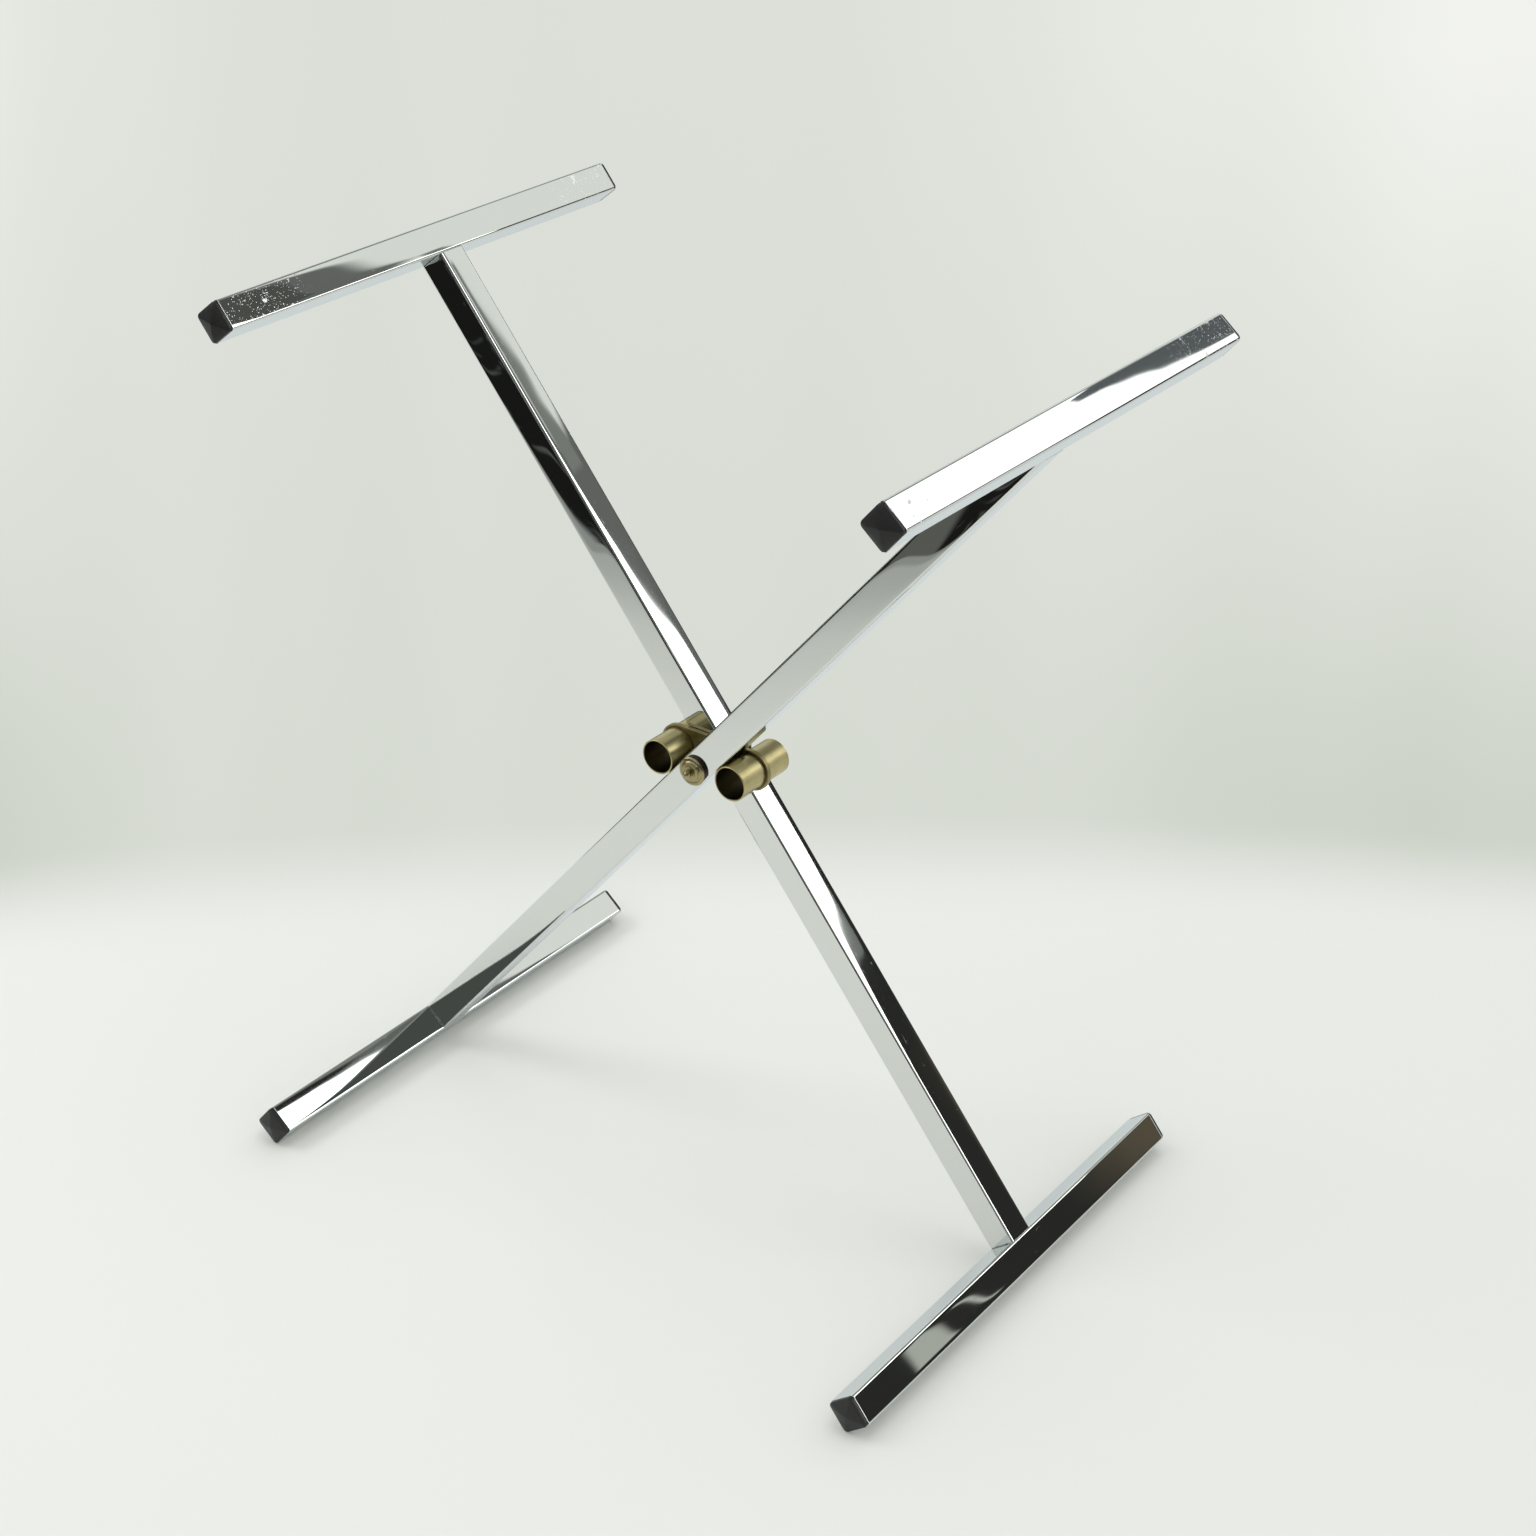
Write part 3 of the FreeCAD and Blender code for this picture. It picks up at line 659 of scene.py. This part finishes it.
def nut_outline():
    """Radius and height of the turned outline, from the bore's mouth to its floor."""
    foot = [(nut_flange - inwards * MM, up * MM) for inwards, up in FLANGE_STEPS]
    shoulder = [(radius * MM, up * MM) for radius, up in SHOULDER]
    cone = [(CONE_NECK + CONE_SPREAD * (1 - t) ** CONE_HOLLOW, CONE_FOOT + CONE_RISE * t)
            for t in (i / CONE_STEPS for i in range(CONE_STEPS + 1))]
    turns = [math.radians(BALL_FROM + (90 - BALL_FROM) * i / BALL_STEPS)
             for i in range(BALL_STEPS)]
    ball = [(BALL * math.cos(a), nut_height - BALL + BALL * math.sin(a)) for a in turns]
    bore = [(0, nut_height), (0, BORE_DEPTH), (NUT_BORE, BORE_DEPTH)]
    return [(NUT_BORE, 0)] + foot + shoulder + cone + ball + bore


print(f"cap nut {2 * nut_flange / MM:.1f} mm wide and {nut_height / MM:.1f} mm high, "
      f"{len(nut_outline())} points")

# %% Turn the cap nuts
SPIN_STEPS = 72
MERGE = 0.002 * MM
TURNED_CREASE = math.radians(38)


def spin_solid(name, outline):
    """Spin a closed outline of (radius, height) about +Y into a closed mesh."""
    shape = bmesh.new()
    verts = [shape.verts.new((radius, height, 0)) for radius, height in outline]
    edges = [shape.edges.new((a, b)) for a, b in zip(verts, verts[1:] + verts[:1])]
    bmesh.ops.spin(shape, geom=verts + edges, cent=(0, 0, 0), axis=(0, 1, 0),
                   angle=2 * math.pi, steps=SPIN_STEPS, use_duplicate=False)
    bmesh.ops.remove_doubles(shape, verts=shape.verts, dist=MERGE)
    bmesh.ops.dissolve_degenerate(shape, edges=shape.edges, dist=MERGE / 2)
    loose = [edge for edge in shape.edges if not edge.link_faces]
    bmesh.ops.delete(shape, geom=loose, context="EDGES")
    mesh = smooth_mesh(name, shape)
    mesh.set_sharp_from_angle(angle=TURNED_CREASE)
    return mesh


for side, facing, seat in (("front", math.pi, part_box("front_cap_nut")[1].y),
                           ("rear", 0.0, nut_low.y)):
    nut = new_object(f"{side}_turned_cap_nut", spin_solid(f"{side} cap nut", nut_outline()))
    nut.data.transform(Matrix.Translation((pivot.x, seat, pivot.z))
                       @ Matrix.Rotation(facing, 4, "Z"))
    nut.data.materials.append(nut_brass)
    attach(nut, "front_leg")
    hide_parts(f"{side}_cap_nut")

# %% [markdown]
# ## Brazed rings
# The sleeves are brazed into the link, which leaves a thin uneven fillet round each sleeve on both
# faces of the link. A torus would be too even, so a ring of small sections follows the sleeve's
# edge, with a wave in its size. Its dark brown is painted shade: it makes the shaded line where each
# sleeve enters the link.

# %% Braze the sleeves to the link
BRAZE_WIDTH = 1.1 * MM
BRAZE_HEIGHT = 0.40 * MM
BRAZE_STEPS = 96
SLEEVE_GAP = 0.02 * MM


def braze_rings():
    """Sections round +Y of a thin fillet that stands on the plane Y = 0 and hugs the sleeve."""
    sections = []
    for step in range(BRAZE_STEPS):
        turn = 2 * math.pi * step / BRAZE_STEPS
        wave = 0.8 + 0.13 * math.sin(5 * turn) + 0.07 * math.sin(11 * turn + 2)
        fillet = [(SLEEVE_GAP, 0), (BRAZE_WIDTH * wave, 0),
                  (BRAZE_WIDTH * wave * 0.4, BRAZE_HEIGHT * 0.45),
                  (SLEEVE_GAP, BRAZE_HEIGHT * wave)]
        sections.append([((sleeve_radius + out) * math.cos(turn), up,
                          (sleeve_radius + out) * math.sin(turn)) for out, up in fillet])
    return sections


brazed = repeat("brazed_rings", loft("brazed ring", braze_rings(), round_again=True),
                corner_tree("brazed rings on the link", face_own_end),
                {"Half Depth": link_face, "Half Height": sleeve_reach, "Centre": pivot,
                 "Lie": (0, math.pi / 2, 0), "Finish": braze_with_painted_shade})
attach(brazed, "stop_link")

# %% [markdown]
# ## Studio
# Chrome shows the room, so the room is planned first. Behind the stand hangs a pale curtain, with a
# bright window past its right-hand edge and an unlit room round it. The room could be built from
# glowing cards, but at a distance a reflection depends only on its direction, so the world colours
# directions instead, and nothing stands in the way of the camera or the lamps. Only reflections
# see these panels. The eye sees a plain pale wall, and diffuse light comes evenly from all round.

# %% The surroundings that metal reflects
# Each panel: its corners, anticlockwise, as (azimuth, elevation) in degrees, where azimuth 0 is
# along +Y and 90 along +X, then how soft its edges are in degrees, its colour and its level.
# A panel covers those before it.
PALE, BRIGHT, UNLIT = "#E6E9E4", "#FFFFFF", "#2E2E2C"
PANELS = [
    ("ceiling", [(-180, 50), (180, 50), (180, 90), (-180, 90)], 3.0, "#A3A6A2", 1.0),
    ("dim back wall", [(118, 20), (176, 20), (176, 50), (118, 50)], 2.0, "#5C5E5B", 1.0),
    ("strip over the curtain", [(-90, 41), (36, 41), (37.5, 45), (36, 56), (-90, 56)],
     0.6, "#8C8F8A", 1.0),
    ("gap beside the curtain", [(31, 26), (38.4, 24.6), (42, 30), (38.5, 43.4), (34, 43.4)],
     0.15, "#6E706D", 1.0),
    ("curtain, upper part", [(-90, 26), (30, 26), (32.8, 34.9), (33.7, 36.5), (36.6, 41.8),
                             (35.8, 42.3), (-90, 46)], 0.22, PALE, 1.12),
    ("post of the window", [(34.5, 36.3), (36.6, 36.3), (36.5, 39.5), (34.2, 39.5)],
     0.05, "#545652", 1.0),
    ("curtain, lower part", [(-90, -30), (-4, -30), (-4, 20), (-90, 20)], 0.5, PALE, 1.12),
    ("curtain", [(-90, 18), (-10, 18), (35.1, 31.25), (33.3, 34.9), (-90, 36)], 0.40, PALE, 1.12),
    ("fold in the curtain", [(34.75, 30.3), (35.35, 30.5), (32.7, 34.8), (32.15, 34.5)],
     0.09, "#858883", 1.0),
    ("sill of the window", [(40.1, 21.6), (40.9, 20.6), (41.5, 20.6), (40.2, 22.6)],
     0.04, "#7A7D7B", 1.0),
    ("window", [(36.25, 29.0), (37.75, 25.8), (40.0, 22.15), (41.5, 20.7), (44.0, 19.4),
                (56, 19), (56, 52), (48, 51.2), (36.75, 42.5)], 0.05, BRIGHT, 3.4),
    ("low window", [(35.5, -2), (40.2, -2), (40.2, 13), (37.6, 17.5), (35.5, 18.5)],
     0.5, BRIGHT, 1.0),
    ("valance", [(-90, 33), (14.5, 33), (14.5, 47), (-90, 47)], 0.6, "#8E918C", 1.0),
    ("far window", [(51, 4), (74, 4), (74, 48), (51, 48)], 0.6, BRIGHT, 3.4),
    ("side window", [(15.8, 25), (26, 25), (26, 37), (17, 36.6)], 0.08, BRIGHT, 1.8),
    ("blind of the side window", [(10, 25.5), (14.9, 24.6), (16.72, 28.0), (17.62, 29.6),
                                  (18.25, 31.0), (17.9, 31.35), (10, 31.6)],
     0.06, "#616668", 1.0),
    ("papers on the bench", [(46.8, 14.7), (47.9, 14.9), (47.5, 16.4), (46.9, 16.4)],
     0.12, "#B9BDB4", 1.0),
    ("edge of a paper", [(45.55, 14.5), (45.68, 14.5), (46.35, 15.8), (46.22, 15.8)],
     0.05, "#C9CDC4", 1.0),
    ("dusty corner", [(36, 10), (42.6, 10), (42.0, 18), (36, 18)], 1.2, "#5E5648", 1.0),
    ("pale wall on the left", [(-178, 2), (-98, 2), (-98, 56), (-178, 56)], 3.0, BRIGHT, 0.9),
    ("shelf on that wall", [(-178, 33.0), (-141, 35.5), (-141, 38.0), (-178, 35.5)],
     0.2, "#8E918C", 1.0),
    ("doorway in that wall", [(-143, 2), (-134, 2), (-132, 42), (-140, 42)],
     0.25, "#454744", 1.0),
    ("lamp on the left", [(-134, 8), (-104, 8), (-104, 50), (-130, 50)], 0.3, BRIGHT, 2.2),
    ("lit strip on the back wall", [(122, 8), (128, 8), (133, 50), (127, 50)],
     0.25, "#D4D7D1", 1.0),
    ("pipe on the back wall", [(158, 8), (160.5, 8), (159.5, 50), (157, 50)],
     0.3, "#B4B7B1", 1.0),
    ("lamp in front", [(166, 26), (174, 26), (174, 36), (166, 36)], 2.0, BRIGHT, 3.0),
    ("side curtain", [(80, -30), (112, -30), (112, 34), (80, 34)], 2.5, "#D2D5CF", 1.0),
]
print(len(PANELS), "panels, from the", PANELS[0][0], "to the", PANELS[-1][0])


# %% Lay the panels over a dark room
def beyond(tree, place, way, start, soft):
    """How far a place lies past a line that is square to way, from 0 to 1."""
    away = add(tree, "ShaderNodeVectorMath", {0: place, 1: way}, operation="DOT_PRODUCT")
    return add(tree, "ShaderNodeMapRange", {
        "Value": away.outputs["Value"], "From Min": start - soft, "From Max": start + soft},
        interpolation_type="SMOOTHSTEP")


def direction_map(tree):
    """Azimuth and elevation of a ray in degrees, as a flat place."""
    ray = add(tree, "ShaderNodeSeparateXYZ", {
        0: add(tree, "ShaderNodeTexCoord").outputs["Generated"]})
    turn = add(tree, "ShaderNodeMath", {0: ray.outputs["X"], 1: ray.outputs["Y"]},
               operation="ARCTAN2")
    rise = add(tree, "ShaderNodeMath", {0: ray.outputs["Z"]}, operation="ARCSINE")
    azimuth = add(tree, "ShaderNodeMath", {0: turn}, operation="DEGREES")
    elevation = add(tree, "ShaderNodeMath", {0: rise}, operation="DEGREES")
    return add(tree, "ShaderNodeCombineXYZ", {"X": azimuth, "Y": elevation})


def reflected_room(tree):
    """Colour by direction: a dark room with the panels laid over it one by one."""
    looking = direction_map(tree)
    seen = colour(UNLIT)
    for _, corners, soft, code, level in PANELS:
        inside = 1.0
        for here, there in zip(corners, corners[1:] + corners[:1]):
            inward = Vector((here[1] - there[1], there[0] - here[0], 0)).normalized()
            side = beyond(tree, looking, inward, inward.dot(Vector((*here, 0))), soft)
            inside = add(tree, "ShaderNodeMath", {0: side, 1: inside}, operation="MULTIPLY")
        laid = add(tree, "ShaderNodeMix", {"Factor": inside, "A": seen,
                                           "B": colour(code, level)}, data_type="RGBA")
        seen = laid.outputs["Result"]
    return seen


# %% Light the world
EVEN_LIGHT = 0.80
world = bpy.data.worlds.new("studio")
bpy.context.scene.world = world
world.use_nodes = True
sky = world.node_tree
ray_kind = add(sky, "ShaderNodeLightPath").outputs
to_metal = add(sky, "ShaderNodeMix", {
    "Factor": ray_kind["Is Glossy Ray"], "A": colour("#FFFFFF", EVEN_LIGHT),
    "B": reflected_room(sky)}, data_type="RGBA")
to_eye = add(sky, "ShaderNodeMix", {
    "Factor": ray_kind["Is Camera Ray"], "A": to_metal.outputs["Result"],
    "B": colour("#DADED7")}, data_type="RGBA")
feed(sky.nodes["Background"], {"Color": to_eye.outputs["Result"]})
print(f"world: even light {EVEN_LIGHT}, {len(sky.nodes)} nodes")

# %% [markdown]
# ## Floor and backdrop
# The floor is one big pale sheet. Chrome low on the stand mirrors the place where the sheet ends
# and a bare dark bench begins. A real edge there would show to the eye in views from behind, so
# the floor stays whole and turns dark only for polished metal. The backdrop is the same sheet
# swept up behind the stand. It shows from the front only, so that a camera behind the stand still
# sees it.

# %% Where the camera stands
CAMERA_FROM_PIVOT = Vector((929.5, -1240.1, 846.8)) * MM
HEADING = math.radians(34.8)        # turned from +Y towards -X
DOWN = math.radians(26.6)
ROLL = math.radians(1.5)
SENSOR = 36.0
LENS = 66.84                        # mm, for that sensor
SHIFT = (-0.0262, -0.0730)          # of the sensor's width
forward = Vector((-math.sin(HEADING), math.cos(HEADING), 0))
sideways = Vector((forward.y, -forward.x, 0))
print(f"camera {CAMERA_FROM_PIVOT.length:.2f} m from the pivot")

# %% Paper for the floor and backdrop
PAPER = {"Base Color": colour("#EBEDE8"), "Roughness": 0.9, "Specular IOR Level": 0.0}
floor_paper, tree, shader, place = new_material("matt paper, pale, floor")
feed(shader, PAPER)
print(floor_paper.name, "has roughness", PAPER["Roughness"])

# %% Where the sheet ends
# Each line on the floor is a direction and how far along it the line lies. The sheet ends past
# both of the bench's lines, and again past the one on its left.
BENCH_SIDES = (((-0.639, -0.770, 0), 965 * MM), ((0.485, -0.874, 0), 285 * MM))
LEFT_SIDE = ((-0.906, 0.423, 0), 1250 * MM)
LEFT_SOFT = 40 * MM
STREAK_SCALE = 9.0                  # per metre
streaks = add(tree, "ShaderNodeTexNoise", {"Vector": place, "Scale": STREAK_SCALE,
                                           "Detail": 2.0, "Distortion": 1.5})
streak = add(tree, "ShaderNodeMapRange", {"Value": streaks, "From Min": 0.55, "From Max": 0.68})
clutter = add(tree, "ShaderNodeMix", {"Factor": streak, "A": colour("#1C1C1B"),
                                      "B": colour("#565856")}, data_type="RGBA")
bare = add(tree, "ShaderNodeEmission", {"Color": clutter.outputs["Result"]})
shade = add(tree, "ShaderNodeEmission", {"Color": colour("#6E716D")})

# The sheet darkens in three steps towards the bench, and the bench is the fourth: how far back
# each starts, how soft it is, how much it covers and with what.
STEPS = [(290 * MM, 230 * MM, 0.32, shade), (110 * MM, 90 * MM, 0.36, shade),
         (22 * MM, 7 * MM, 0.45, shade), (0.0, 5 * MM, 1.0, bare)]
covers = []
for set_back, soft, amount, cover in STEPS:
    for way, start in BENCH_SIDES:
        side = beyond(tree, place, way, start - set_back, soft)
        amount = add(tree, "ShaderNodeMath", {0: side, 1: amount}, operation="MULTIPLY")
    covers.append((amount, cover))
covers.append((beyond(tree, place, *LEFT_SIDE, LEFT_SOFT), bare))
print(len(covers), "tones between the sheet and the bench")

# %% Lay the floor
# A grey board lies on the bench, just past the sheet's edge.
BOARD_SIDES = (BENCH_SIDES[0], ((-0.939, 0.344, 0), 54 * MM), ((0.939, -0.344, 0), -115 * MM))
BOARD_SOFT = 4 * MM
FLOOR_HALF = 8.0
board = 1.0
for way, start in BOARD_SIDES:
    side = beyond(tree, place, way, start, BOARD_SOFT)
    board = add(tree, "ShaderNodeMath", {0: side, 1: board}, operation="MULTIPLY")
covers.append((board, add(tree, "ShaderNodeEmission", {"Color": colour("#62645E")})))

glossy = add(tree, "ShaderNodeLightPath").outputs["Is Glossy Ray"]
for amount, cover in covers:
    only_metal = add(tree, "ShaderNodeMath", {0: amount, 1: glossy}, operation="MULTIPLY")
    shader = add(tree, "ShaderNodeMixShader", {"Fac": only_metal, 1: shader, 2: cover})
feed(tree.nodes["Material Output"], {"Surface": shader})

floor_mesh = bpy.data.meshes.new("floor")
floor_mesh.from_pydata([(-FLOOR_HALF, -FLOOR_HALF, 0), (FLOOR_HALF, -FLOOR_HALF, 0),
                        (FLOOR_HALF, FLOOR_HALF, 0), (-FLOOR_HALF, FLOOR_HALF, 0)],
                       [], [(0, 1, 2, 3)])
floor = new_object("floor", floor_mesh)
floor_mesh.materials.append(floor_paper)
print(f"floor {2 * FLOOR_HALF:.0f} m wide")

# %% Tone of the sheet behind the stand
# Its tone is painted light, rising towards both upper corners, where the light falls on it, and soft
# upright folds show in it as painted shade. The two sides differ, so a few values are given as left
# and right. The lowest part blends into the floor.
WALL_LOW, WALL_HIGH = 60 * MM, 640 * MM
DARKEST = 60 * MM                   # how far left of the middle the tone is darkest
REACH = 560 * MM                    # from there to where a side is at its brightest
STEEPNESS = (6.0, 1.8)
STRENGTH = (2.5, 1.15)
FOLD_SCALE = 6.0                    # per metre
BLEND = (1 * MM, 45 * MM)
wall_paper, tree, shader, place = new_material("matt paper, pale, backdrop")
feed(shader, PAPER)
height = add(tree, "ShaderNodeSeparateXYZ", {0: place}).outputs["Z"]
across = add(tree, "ShaderNodeVectorMath", {0: place, 1: sideways},
             operation="DOT_PRODUCT").outputs["Value"]
off_middle = add(tree, "ShaderNodeMath", {0: across, 1: DARKEST}, operation="ADD")
aside = add(tree, "ShaderNodeMath", {0: off_middle}, operation="ABSOLUTE")
share = add(tree, "ShaderNodeMapRange", {"Value": aside, "From Max": REACH})
steepness, strength = [
    add(tree, "ShaderNodeMapRange", {"Value": off_middle, "From Min": -1 * MM,
                                     "From Max": 1 * MM, "To Min": left, "To Max": right})
    for left, right in (STEEPNESS, STRENGTH)]
bend = add(tree, "ShaderNodeMath", {0: share, 1: steepness}, operation="POWER")
upwards = add(tree, "ShaderNodeMapRange", {"Value": height, "From Min": WALL_LOW,
                                           "From Max": WALL_HIGH, "To Min": -0.40})
corner = add(tree, "ShaderNodeMath", {0: bend, 1: upwards}, operation="MULTIPLY")
fold_way = add(tree, "ShaderNodeCombineXYZ", {"X": across})
# Painted shade of soft upright folds in the sheet.
fold_shade_noise = add(tree, "ShaderNodeTexNoise", {"Vector": fold_way, "Scale": FOLD_SCALE, "Detail": 1.0})
painted_fold_shade = add(tree, "ShaderNodeMath", {0: fold_shade_noise, 1: 0.5, 2: 0.75}, operation="MULTIPLY_ADD")
# Painted light: the sheet grows lighter with height.
lift = add(tree, "ShaderNodeMapRange", {"Value": height, "From Max": WALL_HIGH, "To Max": 0.25})
lit = add(tree, "ShaderNodeMath", {0: painted_fold_shade, 1: lift}, operation="ADD")
bright = add(tree, "ShaderNodeMath", {0: corner, 1: strength, 2: lit}, operation="MULTIPLY_ADD")
level = add(tree, "ShaderNodeMapRange", {"Value": bright, "From Min": 0.4, "From Max": 2.4})
tone = add(tree, "ShaderNodeMix", {"Factor": level, "A": colour("#CAD0C6"),
                                   "B": colour("#F2F3EE")}, data_type="RGBA")
plain = add(tree, "ShaderNodeEmission", {"Color": tone.outputs["Result"]})
risen = add(tree, "ShaderNodeMapRange", {"Value": height, "From Min": BLEND[0],
                                         "From Max": BLEND[1]},
            interpolation_type="SMOOTHSTEP")
front = add(tree, "ShaderNodeMixShader", {"Fac": risen, 1: shader, 2: plain})
behind = add(tree, "ShaderNodeNewGeometry").outputs["Backfacing"]
one_sided = add(tree, "ShaderNodeMixShader", {
    "Fac": behind, 1: front, 2: add(tree, "ShaderNodeBsdfTransparent")})
feed(tree.nodes["Material Output"], {"Surface": one_sided})
print("backdrop material has", len(tree.nodes), "nodes")

# %% Sweep the backdrop up
SWEEP_START = 264 * MM              # behind the pivot, at the middle
SWEEP_SLANT = 0.085                 # the left side stands a little nearer
SWEEP_RADIUS = 150 * MM
SWEEP_TOP = 2.6
PLAN_RADIUS = 3.1                   # the backdrop bows a little towards the camera at its sides
HALF_SPAN = 2.4
COLUMNS, BEND_STEPS = 48, 16
bends = [math.radians(90 * i / BEND_STEPS) for i in range(BEND_STEPS + 1)]
profile = [(SWEEP_RADIUS * math.sin(a), SWEEP_RADIUS * (1 - math.cos(a))) for a in bends]
profile.append((SWEEP_RADIUS, SWEEP_TOP))
count = len(profile)
points, faces = [], []
for column in range(COLUMNS + 1):
    lateral = HALF_SPAN * (2 * column / COLUMNS - 1)
    bow = lateral ** 2 / (2 * PLAN_RADIUS)
    for back, up in profile:
        foot = sideways * lateral + forward * (SWEEP_START + SWEEP_SLANT * lateral - bow + back)
        points.append((foot.x, foot.y, up))
for column in range(COLUMNS):
    for row in range(count - 1):
        first = column * count + row
        faces.append((first, first + count, first + count + 1, first + 1))
wall_mesh = bpy.data.meshes.new("backdrop")
wall_mesh.from_pydata(points, [], faces)
wall_mesh.shade_smooth()
wall = new_object("backdrop", wall_mesh)
wall_mesh.materials.append(wall_paper)
wall.visible_glossy = False
wall.visible_shadow = False
wall.visible_diffuse = False
print(f"backdrop: {len(faces)} faces")

# %% [markdown]
# ## Light and camera
# One wide softbox hangs above the stand and a smaller one stands high on its left. A sun lamp would
# cut hard shadows. Soft ones under the bars need wide lamps, and the even light of the
# surroundings fills the rest. Chrome does not see the lamps, because its room has its own.

# %% Hang the softboxes
def softbox(name, place, width, height, watts):
    """A wide lamp that faces the pivot and lights everything but reflections."""
    lamp = bpy.data.lights.new(name, "AREA")
    lamp.shape = "RECTANGLE"
    lamp.size = width
    lamp.size_y = height
    lamp.energy = watts
    hung = new_object(name, lamp)
    hung.location = place
    hung.rotation_euler = (pivot - hung.location).to_track_quat("-Z", "Y").to_euler()
    hung.visible_glossy = False
    print(f"{name}: {watts:.0f} W, {(pivot - hung.location).length:.1f} m from the pivot")


softbox("softbox above", place=(0.2, 0.2, 2.4), width=1.4, height=1.2, watts=8.0)
softbox("softbox on the left", place=(-1.5, -0.8, 1.9), width=0.9, height=0.9, watts=9.0)

# %% Set the camera
lens = bpy.data.cameras.new("camera")
lens.sensor_width = SENSOR
lens.lens = LENS
lens.shift_x, lens.shift_y = SHIFT
lens.clip_start = 0.05
lens.clip_end = 50.0
camera = new_object("camera", lens)
camera.matrix_world = (Matrix.Translation(pivot + CAMERA_FROM_PIVOT)
                       @ Matrix.Rotation(HEADING, 4, "Z")
                       @ Matrix.Rotation(math.pi / 2 - DOWN, 4, "X")
                       @ Matrix.Rotation(ROLL, 4, "Z"))
bpy.context.scene.camera = camera
bpy.context.scene.view_settings.view_transform = "Standard"
print(f"camera at {[round(c, 2) for c in camera.matrix_world.translation]} m")
